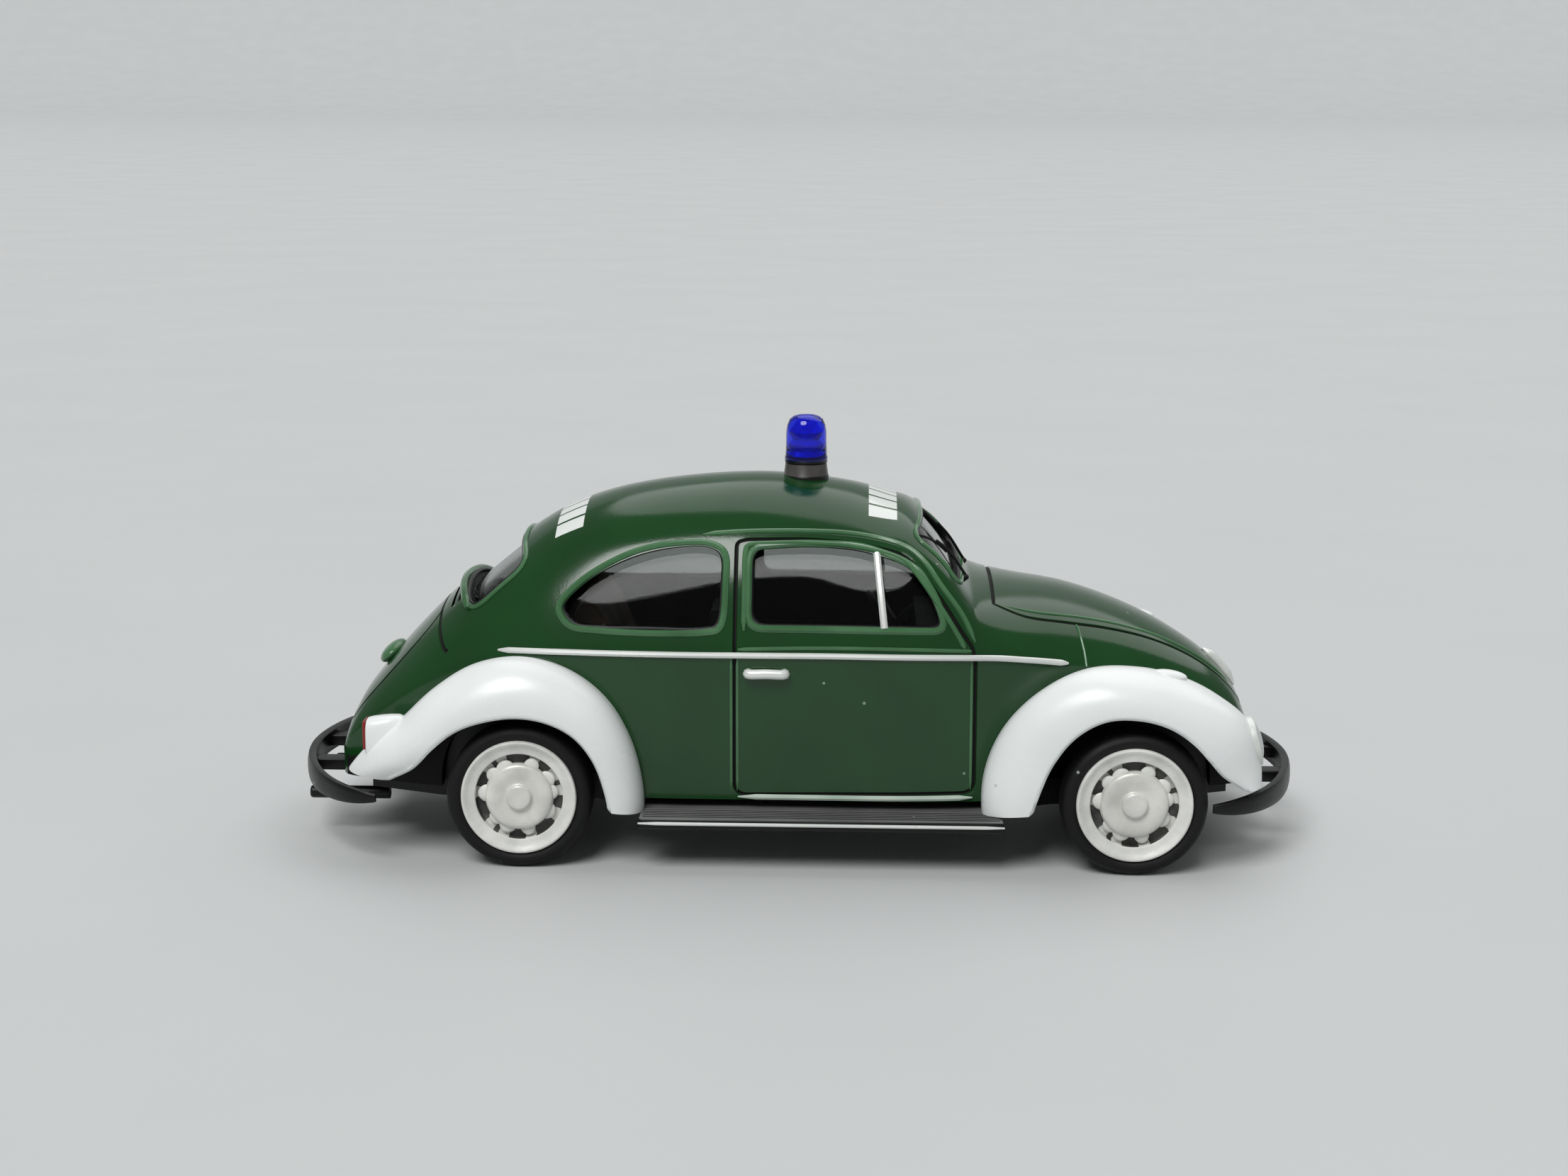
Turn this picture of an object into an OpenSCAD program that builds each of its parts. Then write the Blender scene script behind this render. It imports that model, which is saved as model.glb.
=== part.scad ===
// Toy police car: a small plastic model of a round-bodied two-door saloon.
// Millimetres. +X points to the nose, +Y to the car's left, +Z up, and the ground is z = 0.

/* [Body] */
// Distance between the two axles
wheelbase = 27.6; // [26:0.1:30]
// Nose of the body ahead of the front axle
nose_reach = 6.0; // [5.6:0.1:7]
// Tail of the body behind the rear axle
tail_reach = 8.9; // [8.2:0.1:10]
// Width across the doors
body_w = 14.4; // [13.6:0.1:15.2]
// Top of the roof above the ground
roof_h = 16.9; // [16:0.1:18.5]
// Lower edge of the body above the ground
sill_h = 2.95; // [2.8:0.05:3.3]
// Thickness of the moulded body wall
wall = 0.7; // [0.5:0.05:0.85]
// Width of the door and lid gaps
gap_w = 0.16; // [0.1:0.02:0.3]
// Depth of the door and lid gaps
gap_d = 0.2; // [0.1:0.02:0.3]
// Radius of the corners of the windows
window_corner_r = 0.4; // [0.2:0.05:0.6]

/* [Glazing] */
// Thickness of the clear glazing insert
glass_t = 0.45; // [0.3:0.05:0.6]
// Room between the body and the glazing insert
glass_gap = 0.18; // [0.16:0.01:0.26]

/* [Wings] */
// Width across the wings
wing_w = 17.7; // [17.2:0.1:18.6]
// Thickness of the wing wall
wing_t = 0.5; // [0.35:0.05:0.6]
// Radius of the rolled edge round each wheel opening
wing_edge_r = 0.2; // [0.12:0.02:0.3]

/* [Wheels] */
// Outer diameter of the tyres
tyre_d = 6.6; // [6:0.1:7]
// Width of the tyres
tyre_w = 1.9; // [1.5:0.1:2.1]
// Width over the outer faces of the wheels
wheel_face_w = 16.6; // [16:0.1:17.2]
// Diameter of the rim inside the tyre
rim_d = 5.24; // [4.8:0.02:5.5]
// Diameter of the hub cap
cap_d = 3.0; // [2.4:0.1:3.2]
// Diameter of the steel axles
axle_d = 1.0; // [0.8:0.05:1.2]
// Running clearance on the radius between axle and bearing
axle_gap = 0.05; // [0.03:0.01:0.09]
// Room between the tyre and the wheel opening
arch_gap = 0.65; // [0.55:0.05:0.8]

/* [Chassis] */
// Height of the chassis underside above the ground
chassis_h = 2.25; // [2.05:0.05:2.4]
// Thickness of the chassis plate
chassis_t = 1.2; // [0.9:0.05:1.4]
// Height of the flat pad under the chassis plate
pad_t = 0.15; // [0.1:0.05:0.25]
// Thickness of the running boards
board_t = 0.6; // [0.4:0.05:0.7]
// Diameter of the tail pipes
pipe_d = 0.6; // [0.4:0.05:0.8]

/* [Bumpers] */
// Front bumper ahead of the nose
front_bumper_reach = 2.1; // [1.8:0.1:2.6]
// Rear bumper behind the tail
rear_bumper_reach = 2.2; // [1.9:0.1:2.8]
// Width of the bumpers
bumper_w = 16.2; // [14.6:0.1:16.8]
// Height of the bumper blade
bumper_h = 1.1; // [0.8:0.1:1.4]
// Thickness of the bumper blade
bumper_t = 0.45; // [0.3:0.05:0.6]
// Height of the middle of the bumpers above the ground
bumper_z = 3.15; // [2.9:0.05:3.4]

/* [Roof light] */
// Diameter of the dome
dome_d = 2.0; // [1.6:0.1:2.4]
// Height of the dome
dome_h = 2.1; // [1.8:0.05:3]
// Height of the foot above the roof
foot_h = 0.8; // [0.4:0.05:1]

/* [Lamps and trim] */
// Diameter of the headlamps
lamp_d = 2.3; // [1.9:0.1:2.5]
// Height of the belt strip
strip_h = 0.36; // [0.24:0.02:0.5]
// How far the belt strip stands out
strip_t = 0.14; // [0.08:0.02:0.24]
// Length of the door handles
handle_len = 1.9; // [1.4:0.1:2.2]
// Diameter of the steering wheel
steering_d = 4.2; // [3.6:0.1:4.6]

/* [Hidden] */
$fn = 48;

// Overrun of every cut, and the room left between pieces that are put together
over = 1;
fit_gap = 0.04;

// Main places, all worked out from the driving sizes
body_len = tail_reach + wheelbase + nose_reach;
overall_len = rear_bumper_reach + body_len + front_bumper_reach;
tail_x = rear_bumper_reach - overall_len / 2;
nose_x = tail_x + body_len;
rear_axle_x = tail_x + tail_reach;
front_axle_x = rear_axle_x + wheelbase;
tyre_r = tyre_d / 2;
arch_r = tyre_r + arch_gap;
cabin_h = roof_h - sill_h;
half_w = body_w / 2;
wing_half = wing_w / 2;
wheel_in_y = wheel_face_w / 2 - tyre_w;

// A place along the body and a height, from shares of its length and of its height
function along(share) = tail_x + share * body_len;
function height(share) = sill_h + share * cabin_h;

// Smooth curve through rows of numbers
function curve_row(rows, i, t) =
  let (
    a = rows[max(i - 1, 0)],
    b = rows[i],
    c = rows[i + 1],
    d = rows[min(i + 2, len(rows) - 1)]
  )
  (2 * b + (c - a) * t + (2 * a - 5 * b + 4 * c - d) * t * t + (3 * b - a - 3 * c + d) * t * t * t) / 2;
function curve(rows, steps) = [
  for (i = [0:len(rows) - 2]) for (k = [0:steps - 1]) curve_row(rows, i, k / steps),
  rows[len(rows) - 1]
];
// Smooth closed curve through points
function closed_curve(points, steps) =
  let (n = len(points))
  [
    for (i = [0:n - 1])
      let (around = [for (j = [n - 1:n + 2]) points[(i + j) % n]])
      for (k = [0:steps - 1]) curve_row(around, 1, k / steps)
  ];

// Stations of the body from tail to nose: place along the length, height of the middle line,
// half width, height of the shoulder, crown of the top, and sharpness of the corner between top and side
body_shares = [
  [0.000, 0.125, 0.470, 0.090, 0.50, 4.5],
  [0.006, 0.186, 0.530, 0.118, 0.50, 4.5],
  [0.019, 0.262, 0.576, 0.161, 0.50, 4.5],
  [0.040, 0.344, 0.632, 0.219, 0.50, 4.5],
  [0.073, 0.459, 0.708, 0.297, 0.50, 4.5],
  [0.110, 0.573, 0.778, 0.369, 0.50, 5],
  [0.153, 0.688, 0.847, 0.427, 0.50, 5],
  [0.198, 0.795, 0.903, 0.462, 0.50, 5],
  [0.245, 0.882, 0.944, 0.484, 0.50, 5.5],
  [0.304, 0.946, 0.979, 0.495, 0.50, 6],
  [0.381, 0.986, 1.000, 0.495, 0.50, 6],
  [0.468, 1.000, 1.000, 0.495, 0.50, 6],
  [0.548, 0.975, 1.000, 0.495, 0.46, 6],
  [0.595, 0.938, 0.996, 0.495, 0.38, 7],
  [0.627, 0.900, 0.990, 0.495, 0.25, 8],
  [0.656, 0.806, 0.980, 0.495, 0.15, 9],
  [0.682, 0.688, 0.965, 0.495, 0.18, 8],
  [0.697, 0.668, 0.954, 0.491, 0.32, 6],
  [0.736, 0.652, 0.917, 0.477, 0.50, 5],
  [0.793, 0.627, 0.833, 0.448, 0.55, 5],
  [0.847, 0.577, 0.736, 0.405, 0.55, 5],
  [0.901, 0.502, 0.639, 0.340, 0.55, 5],
  [0.948, 0.409, 0.542, 0.262, 0.55, 5],
  [0.979, 0.312, 0.458, 0.190, 0.55, 5],
  [0.994, 0.219, 0.389, 0.133, 0.55, 5],
  [1.000, 0.133, 0.333, 0.090, 0.55, 5]
];
// Lean of the sides above the shoulder, and width at the sill against the shoulder
side_lean_share = 0.29;
sill_width_share = 0.97;
body_steps = 2;
body_rows = curve(body_shares, body_steps);

// One station in real sizes, grown outwards all round
function station(row, grow) = [
  along(1 / 2) + (row[0] - 1 / 2) * (body_len + 2 * grow),
  height(row[1]) + grow,
  row[2] * half_w + grow,
  height(row[3]) + grow,
  row[4],
  row[5]
];
// Distance of the skin from the middle of the shoulder line, at an angle above it
function side_reach(s, a) = s[2] / (cos(a) + side_lean_share * sin(a));
function top_reach(s, a) =
  let (rise = s[1] - s[3], crown = s[4] * rise / (s[2] * s[2]))
  2 * rise / (sin(a) + sqrt(sin(a) * sin(a) + 4 * crown * rise * cos(a) * cos(a)));
function skin_reach(s, a) =
  pow(pow(side_reach(s, a), -s[5]) + pow(top_reach(s, a), -s[5]), -1 / s[5]);
outer_angles = [0, 8, 17, 26, 34, 42, 50, 60, 72, 90];
inner_angles = [0, 18, 34, 50, 65, 78, 90];
function half_section(s, base_z, angles) = concat(
  [[skin_reach(s, 0) * sill_width_share, base_z]],
  [for (a = angles) [skin_reach(s, a) * cos(a), s[3] + skin_reach(s, a) * sin(a)]]
);
function mirrored(half) = concat(
  half,
  [for (i = [len(half) - 2:-1:0]) [-half[i][0], half[i][1]]]
);
function body_rings(rows, grow, base_z, angles) = [
  for (row = rows)
    let (s = station(row, grow))
    [for (p = mirrored(half_section(s, base_z, angles))) [s[0], p[0], p[1]]]
];

// Closed solid through rings of equal counts of points
module loft(rings) {
  n = len(rings[0]);
  m = len(rings);
  points = [for (ring = rings) for (p = ring) p];
  sides = [
    for (i = [0:m - 2]) for (j = [0:n - 1])
      let (a = i * n + j, b = i * n + (j + 1) % n)
      each [[a, b + n, b], [a, a + n, b + n]]
  ];
  ends = [
    [for (j = [0:n - 1]) j],
    [for (j = [n - 1:-1:0]) (m - 1) * n + j]
  ];
  polyhedron(points, concat(sides, ends), convexity = 10);
}
module body_form(grow, base_z) {
  loft(body_rings(body_rows, grow, base_z, outer_angles));
}
// The hollow keeps every second station, and all of them round the windscreen
cowl_from_steps = 24;
cowl_to_steps = 36;
hollow_rows = [
  for (i = [0:len(body_rows) - 1])
    if (i % body_steps == 0 || (i > cowl_from_steps && i < cowl_to_steps)) body_rows[i]
];
module body_hollow() {
  loft(body_rings(hollow_rows, -wall, sill_h - over, inner_angles));
}

// Half width of the body at a place along it and a height, found by halving the angle
function row_at(share, i = 0) =
  i >= len(body_rows) - 2 || body_rows[i + 1][0] >= share
    ? let (t = (share - body_rows[i][0]) / (body_rows[i + 1][0] - body_rows[i][0]))
      body_rows[i] * (1 - t) + body_rows[i + 1] * t
    : row_at(share, i + 1);
function angle_at(s, z, lo = 0, hi = 90, n = 14) =
  let (mid = (lo + hi) / 2)
  n == 0 ? mid
  : s[3] + skin_reach(s, mid) * sin(mid) < z ? angle_at(s, z, mid, hi, n - 1)
  : angle_at(s, z, lo, mid, n - 1);
function skin_y(share, z) =
  let (s = station(row_at(share), 0))
  z <= s[3]
    ? skin_reach(s, 0) * (sill_width_share + (1 - sill_width_share) * (z - sill_h) / (s[3] - sill_h))
    : let (a = angle_at(s, z)) skin_reach(s, a) * cos(a);
function skin_top(share) = station(row_at(share), 0)[1];

// A flat outline drawn in x and z and pushed right through from side to side
module through_sides() {
  translate([0, wing_half + over, 0])
    rotate([90, 0, 0])
      linear_extrude(wing_w + 2 * over)
        children();
}
// A flat outline drawn in y and z and pushed from one place along the car to another
module through_ends(x0, x1) {
  translate([x0, 0, 0])
    rotate([90, 0, 90])
      linear_extrude(x1 - x0)
        children();
}

// Windows and doors in the side view, as shares of the body's length and height
quarter_window_shares = [
  [0.4225, 0.700], [0.4210, 0.785], [0.4030, 0.813], [0.3700, 0.808], [0.3340, 0.785],
  [0.3000, 0.743], [0.2720, 0.690], [0.2520, 0.622], [0.2640, 0.566], [0.2950, 0.557],
  [0.3500, 0.557], [0.4000, 0.557], [0.4190, 0.580]
];
door_window_shares = [
  [0.4530, 0.570], [0.4530, 0.810], [0.5100, 0.818], [0.5650, 0.808], [0.6090, 0.776],
  [0.6270, 0.748], [0.6460, 0.664], [0.6570, 0.570]
];
door_shares = [
  [0.4365, 0.016], [0.4365, 0.822], [0.4450, 0.832], [0.5110, 0.834], [0.5650, 0.826],
  [0.6120, 0.798], [0.6310, 0.756], [0.6570, 0.650], [0.6750, 0.566], [0.6880, 0.510],
  [0.6905, 0.470], [0.6915, 0.030]
];
function side_outline(shares) = [for (p = shares) [along(p[0]), height(p[1])]];

module rounded(r) {
  offset(r = r) offset(delta = -r) children();
}
module quarter_window() {
  polygon(closed_curve(side_outline(quarter_window_shares), 3));
}
module door_window() {
  rounded(window_corner_r) polygon(side_outline(door_window_shares));
}
module door_ring() {
  difference() {
    offset(delta = gap_w / 2) polygon(side_outline(door_shares));
    offset(delta = -gap_w / 2) polygon(side_outline(door_shares));
  }
}

// Windscreen and rear window: places of the middle of the glass, half width shares at its lower and
// upper edge, and its tilt. Each is cut square to the glass
windscreen_shares = [0.6565, 0.792];
windscreen_width_shares = [0.72, 0.62];
windscreen_up_share = 0.2115;
windscreen_tilt = 38;
rear_window_shares = [0.166, 0.712];
rear_window_width_shares = [0.60, 0.52];
rear_window_up_share = 0.2366;
rear_window_tilt = 55;
glass_cut_d = 1.7;
module end_window(place, widths, up_share, tilt, turn, inset) {
  half_up = up_share * cabin_h / 2 - window_corner_r - inset;
  translate([along(place[0]), 0, height(place[1])])
    rotate([0, -tilt, turn])
      through_ends(-glass_cut_d, glass_cut_d)
        hull()
          for (side = [-1, 1]) {
            translate([side * (widths[0] * half_w - window_corner_r - inset), -half_up])
              circle(window_corner_r, $fn = 16);
            translate([side * (widths[1] * half_w - window_corner_r - inset), half_up])
              circle(window_corner_r, $fn = 16);
          }
}
module end_windows(inset) {
  end_window(windscreen_shares, windscreen_width_shares, windscreen_up_share, windscreen_tilt, 0, inset);
  end_window(
    rear_window_shares, rear_window_width_shares, rear_window_up_share, rear_window_tilt, 180, inset
  );
}

// Bonnet and engine lid seams in plan: half width of each lid along the length
bonnet_shares = [
  [0.702, 0.66], [0.740, 0.66], [0.800, 0.60], [0.860, 0.52], [0.920, 0.42], [0.970, 0.33], [0.992, 0.26]
];
engine_lid_shares = [[0.010, 0.40], [0.040, 0.44], [0.070, 0.45], [0.092, 0.42], [0.100, 0.36]];
function lid_half(shares) = [for (p = shares) [along(p[0]), p[1] * half_w]];
function lid_outline(shares) =
  let (half = curve(lid_half(shares), 3))
  concat(half, [for (i = [len(half) - 1:-1:0]) [half[i][0], -half[i][1]]]);
module lid_ring(shares) {
  linear_extrude(roof_h)
    difference() {
      offset(delta = gap_w / 2) polygon(lid_outline(shares));
      offset(delta = -gap_w / 2) polygon(lid_outline(shares));
    }
}

// Cooling slots under the rear window, and the number plate lamp on the engine lid
slot_count = 4;
slot_first_share = 0.112;
slot_step_share = 0.0075;
slot_in_share = 0.12;
slot_out_share = 0.40;
slot_r = 0.12;
module cooling_slots() {
  for (side = [-1, 1]) for (i = [0:slot_count - 1]) {
    share = slot_first_share + i * slot_step_share;
    hull()
      for (w = [slot_in_share, slot_out_share])
        translate([along(share), side * w * half_w, skin_top(share)])
          cylinder(h = over, r = slot_r, center = true, $fn = 8);
  }
}
plate_lamp_share = 0.047;
plate_lamp_half = 0.8;
plate_lamp_r = 0.38;
plate_lamp_back = 0.25;
module plate_lamp() {
  z = skin_top(plate_lamp_share) - plate_lamp_r / 2;
  hull()
    for (side = [-1, 1]) for (b = [0, plate_lamp_back])
      translate([along(plate_lamp_share) - b, side * plate_lamp_half, z - b])
        sphere(plate_lamp_r, $fn = 12);
}

// Places of the roof light and of its peg in the roof
light_share = 0.507;
light_x = along(light_share);
seat_drop = 0.3;
seat_z = skin_top(light_share) - seat_drop;
foot_margin = 0.1;
foot_d = dome_d + 2 * foot_margin;
peg_d = dome_d / 2;
peg_len = wall - seat_drop;

module body_shell() {
  color("darkgreen")
    difference() {
      union() {
        body_form(0, sill_h);
        plate_lamp();
      }
      body_hollow();
      through_sides() quarter_window();
      through_sides() door_window();
      end_windows(0);
      difference() {
        union() {
          through_sides() door_ring();
          lid_ring(bonnet_shares);
          lid_ring(engine_lid_shares);
          cooling_slots();
        }
        body_form(-gap_d, sill_h - over);
      }
      for (x = [rear_axle_x, front_axle_x])
        translate([x, wing_half, tyre_r])
          rotate([90, 0, 0])
            cylinder(h = wing_w, r = arch_r, $fn = 40);
      translate([light_x, 0, seat_z])
        cylinder(h = seat_drop + over, d = foot_d + 2 * fit_gap);
      translate([light_x, 0, seat_z - wall - over])
        cylinder(h = wall + 2 * over, d = peg_d + 2 * fit_gap);
    }
}

// Clear insert: a vault that lies just inside the body from the windscreen to the rear window,
// with raised panes that fill the windows to a little below the skin
pane_drop = 0.35;
pane_gap = 0.08;
module raised_panes() {
  intersection() {
    difference() {
      body_form(-pane_drop, sill_h);
      body_form(-wall - glass_gap - glass_t / 2, sill_h - over);
    }
    union() {
      through_sides() offset(delta = -pane_gap) quarter_window();
      through_sides() offset(delta = -pane_gap) door_window();
      end_windows(pane_gap);
    }
  }
}
glass_from_steps = 12;
glass_to_steps = 34;
glass_low_angle = 1;
glass_angles = [glass_low_angle, 10, 20, 30, 40, 50, 60, 75, 90];
function vault_half(s) = [
  for (a = glass_angles)
    let (r = skin_reach(s, a))
    [r * cos(a), s[3] + r * sin(a)]
];
module glass_vault() {
  outer = [
    for (i = [glass_from_steps:glass_to_steps])
      let (s = station(body_rows[i], -wall - glass_gap))
      [for (p = mirrored(vault_half(s))) [s[0], p[0], p[1]]]
  ];
  inner = [
    for (i = [glass_from_steps:glass_to_steps])
      let (s = station(body_rows[i], -wall - glass_gap - glass_t))
      [for (p = mirrored(vault_half(s))) [s[0], p[0], p[1]]]
  ];
  n = len(outer[0]);
  m = len(outer);
  points = concat([for (r = outer) for (p = r) p], [for (r = inner) for (p = r) p]);
  shift = n * m;
  skins = [
    for (i = [0:m - 2]) for (j = [0:n - 2])
      let (a = i * n + j)
      each [
        [a, a + n + 1, a + 1], [a, a + n, a + n + 1],
        [shift + a, shift + a + 1, shift + a + n + 1], [shift + a, shift + a + n + 1, shift + a + n]
      ]
  ];
  edges = [
    for (i = [0:m - 2])
      let (a = i * n, b = i * n + n - 1)
      each [
        [a, shift + a + n, a + n], [a, shift + a, shift + a + n],
        [b, b + n, shift + b + n], [b, shift + b + n, shift + b]
      ]
  ];
  ends = [
    for (j = [0:n - 2])
      let (b = (m - 1) * n + j)
      each [
        [j, j + 1, shift + j + 1], [j, shift + j + 1, shift + j],
        [b, shift + b + 1, b + 1], [b, shift + b, shift + b + 1]
      ]
  ];
  polyhedron(points, concat(skins, edges, ends), convexity = 10);
}
module glazing() {
  color("lightgray", 0.4)
    union() {
      glass_vault();
      raised_panes();
    }
}

// Wings, swept round the axle. Each row: angle from the door side up and over, radius of the edge and of
// the crest against the wheel opening, edge and crest out from the middle against the half width of wings
// and of body, root inside the body against its half width, and drop from crest to root against the opening
front_wing_shares = [
  [-6, 1.20, 1.72, 0.960, 1.000, 0.92, 0.00],
  [10, 1.12, 1.71, 0.977, 1.000, 0.92, 0.00],
  [30, 1.096, 1.684, 0.989, 0.993, 0.89, 0.02],
  [50, 1.106, 1.638, 0.994, 0.986, 0.83, 0.07],
  [70, 1.106, 1.590, 1.000, 0.960, 0.74, 0.13],
  [90, 1.063, 1.515, 1.000, 0.930, 0.65, 0.20],
  [110, 1.033, 1.490, 0.994, 0.903, 0.56, 0.25],
  [130, 1.012, 1.515, 0.983, 0.875, 0.47, 0.28],
  [147, 1.018, 1.580, 0.960, 0.854, 0.39, 0.28],
  [161, 1.090, 1.545, 0.930, 0.842, 0.31, 0.25],
  [173, 1.316, 1.500, 0.893, 0.835, 0.26, 0.22]
];
rear_wing_shares = [
  [-8, 1.076, 1.418, 0.966, 1.000, 0.92, 0.00],
  [10, 1.025, 1.385, 0.983, 1.000, 0.92, 0.00],
  [30, 1.020, 1.410, 0.994, 1.000, 0.92, 0.00],
  [50, 1.025, 1.475, 1.000, 0.993, 0.90, 0.00],
  [70, 1.008, 1.530, 1.000, 0.972, 0.87, 0.03],
  [90, 1.000, 1.565, 1.000, 0.958, 0.83, 0.08],
  [110, 1.018, 1.560, 1.000, 0.930, 0.77, 0.12],
  [130, 1.084, 1.545, 0.994, 0.903, 0.70, 0.15],
  [150, 1.165, 1.610, 0.972, 0.861, 0.60, 0.18],
  [165, 1.290, 1.850, 0.915, 0.806, 0.49, 0.20],
  [176, 1.600, 2.080, 0.814, 0.750, 0.40, 0.20]
];
wing_steps = 2;
wing_arc_angles = [0, 18, 36, 54, 72, 90];
// Section of a wing in out and up, thinned all round for its hollow
function wing_section(row, thin) =
  let (
    edge_r = row[1] * arch_r,
    crest_r = row[2] * arch_r - thin,
    edge_y = row[3] * wing_half - thin,
    crest_y = row[4] * half_w - thin,
    root_y = row[5] * half_w - thin,
    root_r = crest_r - row[6] * arch_r,
    foot_r = edge_r - thin
  )
  concat(
    [[root_y, foot_r], [root_y, root_r]],
    [for (a = wing_arc_angles) [
      crest_y + (edge_y - crest_y) * sin(a),
      edge_r + (crest_r - edge_r) * cos(a)
    ]],
    thin > 0 ? [[edge_y, foot_r]] : []
  );
function wing_place(axle_x, turn, angle, p) = [
  axle_x + turn * p[1] * cos(angle),
  p[0],
  tyre_r + p[1] * sin(angle)
];
function wing_rings(rows, axle_x, turn, thin) = [
  for (row = curve(rows, wing_steps))
    [for (p = wing_section(row, thin)) wing_place(axle_x, turn, row[0], p)]
];
function flipped(rings) = [for (r = rings) [for (i = [len(r) - 1:-1:0]) r[i]]];
// The hollow runs past both ends of the wing
function past_ends(rows, reach) =
  let (n = len(rows) - 1)
  [
    for (i = [0:n])
      i == 0 ? rows[0] - [reach, 0, 0, 0, 0, 0, 0]
      : i == n ? rows[n] + [reach, 0, 0, 0, 0, 0, 0]
      : rows[i]
  ];
hollow_turn = 2;
bead_out = 0.03;
module wing_form(rows, axle_x, turn) {
  outer = wing_rings(rows, axle_x, turn, 0);
  inner = wing_rings(past_ends(rows, hollow_turn), axle_x, turn, wing_t);
  difference() {
    loft(turn > 0 ? outer : flipped(outer));
    loft(turn > 0 ? inner : flipped(inner));
  }
  for (i = [0:len(rows) - 2])
    hull()
      for (k = [0, 1]) {
        row = rows[i + k];
        bead_y = row[3] * wing_half - wing_edge_r + bead_out;
        translate(wing_place(axle_x, turn, row[0], [bead_y, row[1] * arch_r]))
          sphere(wing_edge_r, $fn = 8);
      }
}
wing_gap = 0.06;
module trimmed_by_car() {
  difference() {
    children();
    body_form(wing_gap, sill_h - over);
    board_space();
    belt_bar(fit_gap);
    blade_spaces();
  }
}

// Tail lamp pod on the rear wing and the indicator blister on the front wing
pod_back_share = 1.807;
pod_out_share = 0.86;
pod_top_share = 0.801;
pod_low_share = 0.265;
pod_x = rear_axle_x - pod_back_share * arch_r;
pod_y = pod_out_share * half_w;
pod_top_z = tyre_r + pod_top_share * arch_r;
pod_low_z = tyre_r + pod_low_share * arch_r;
pod_r = 0.62;
pod_len = 1.5;
module lamp_pod() {
  hull() {
    for (z = [pod_low_z + pod_r, pod_top_z - pod_r])
      translate([pod_x, pod_y, z])
        rotate([0, 90, 0])
          cylinder(h = pod_r, r = pod_r, $fn = 20);
    translate([pod_x + pod_len, pod_y, pod_top_z - pod_r])
      sphere(pod_r, $fn = 12);
  }
}
blister_angle = 100;
blister_turn = 12;
blister_r = 0.3;
blister_steps = 5;
module blister(rows, axle_x, turn) {
  row = rows[blister_steps];
  hull()
    for (a = [0, blister_turn])
      translate(wing_place(axle_x, turn, blister_angle + a, [row[4] * half_w, row[2] * arch_r]))
        sphere(blister_r, $fn = 12);
}

// Headlamps lie in the nose of the front wings and lean back a little
lamp_ahead_share = 1.395;
lamp_out_share = 0.845;
lamp_up_share = 0.635;
lamp_x = front_axle_x + lamp_ahead_share * arch_r;
lamp_y = lamp_out_share * half_w;
lamp_z = tyre_r + lamp_up_share * arch_r;
lamp_lean = 14;
lamp_depth = 0.9;
lamp_dome_h = 0.35;
module at_lamp() {
  translate([lamp_x, lamp_y, lamp_z])
    rotate([0, 90 - lamp_lean, 0])
      children();
}
module lamp_seat() {
  at_lamp()
    translate([0, 0, -lamp_depth - fit_gap])
      cylinder(h = lamp_depth + over, d = lamp_d + 2 * fit_gap);
}

module wing_front_left() {
  color("white")
    difference() {
      trimmed_by_car() {
        wing_form(front_wing_shares, front_axle_x, -1);
        blister(front_wing_shares, front_axle_x, -1);
      }
      lamp_seat();
    }
}
module wing_rear_left() {
  color("white")
    difference() {
      trimmed_by_car() {
        wing_form(rear_wing_shares, rear_axle_x, 1);
        lamp_pod();
      }
      wheel_space(rear_axle_x);
    }
}
module wheel_space(x) {
  translate([x, 0, tyre_r])
    rotate([-90, 0, 0])
      cylinder(h = wing_w, r = tyre_r + arch_gap / 2);
}
module wing_front_right() {
  mirror([0, 1, 0]) wing_front_left();
}
module wing_rear_right() {
  mirror([0, 1, 0]) wing_rear_left();
}

// Headlamp: a round glass with a domed face and a plug that fills its seat
module headlamp_left() {
  dome_r = (lamp_d * lamp_d / 4 + lamp_dome_h * lamp_dome_h) / (2 * lamp_dome_h);
  color("lightgray")
    at_lamp()
      intersection() {
        translate([0, 0, -lamp_depth])
          cylinder(h = lamp_depth + lamp_dome_h, d = lamp_d);
        translate([0, 0, lamp_dome_h - dome_r])
          sphere(dome_r);
      }
}
module headlamp_right() {
  mirror([0, 1, 0]) headlamp_left();
}

// Tail lamp: a flat round lens on the back of the pod
tail_lens_t = 0.25;
tail_lens_margin = 0.1;
module tail_lamp_left() {
  color("firebrick")
    translate([pod_x - tail_lens_t - fit_gap, pod_y, pod_top_z - pod_r])
      rotate([0, 90, 0])
        cylinder(h = tail_lens_t, r = pod_r - tail_lens_margin);
}
module tail_lamp_right() {
  mirror([0, 1, 0]) tail_lamp_left();
}

// Chassis plate: half width along the length, inside the body
chassis_side_share = 0.75;
chassis_shares = [
  [0.030, 0.42], [0.110, 0.60], [0.150, 0.64], [0.285, 0.64], [0.310, chassis_side_share],
  [0.735, chassis_side_share], [0.775, 0.64], [0.860, 0.52], [0.940, 0.36], [0.975, 0.28]
];
chassis_top_z = chassis_h + chassis_t;
bearing_half = 1.3;
bearing_top = 1.0;
rear_disc_share = 0.62;
front_disc_share = 0.38;
rear_disc_y = rear_disc_share * half_w;
front_disc_y = front_disc_share * half_w;
disc_t = 0.4;
pad_half_len_share = 0.2;
pad_half_w_share = 0.68;
pad_half_len = pad_half_len_share * body_len;
pad_half_w = pad_half_w_share * half_w;
function chassis_outline() =
  let (half = [for (p = chassis_shares) [along(p[0]), p[1] * half_w]])
  concat(half, [for (i = [len(half) - 1:-1:0]) [half[i][0], -half[i][1]]]);
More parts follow.
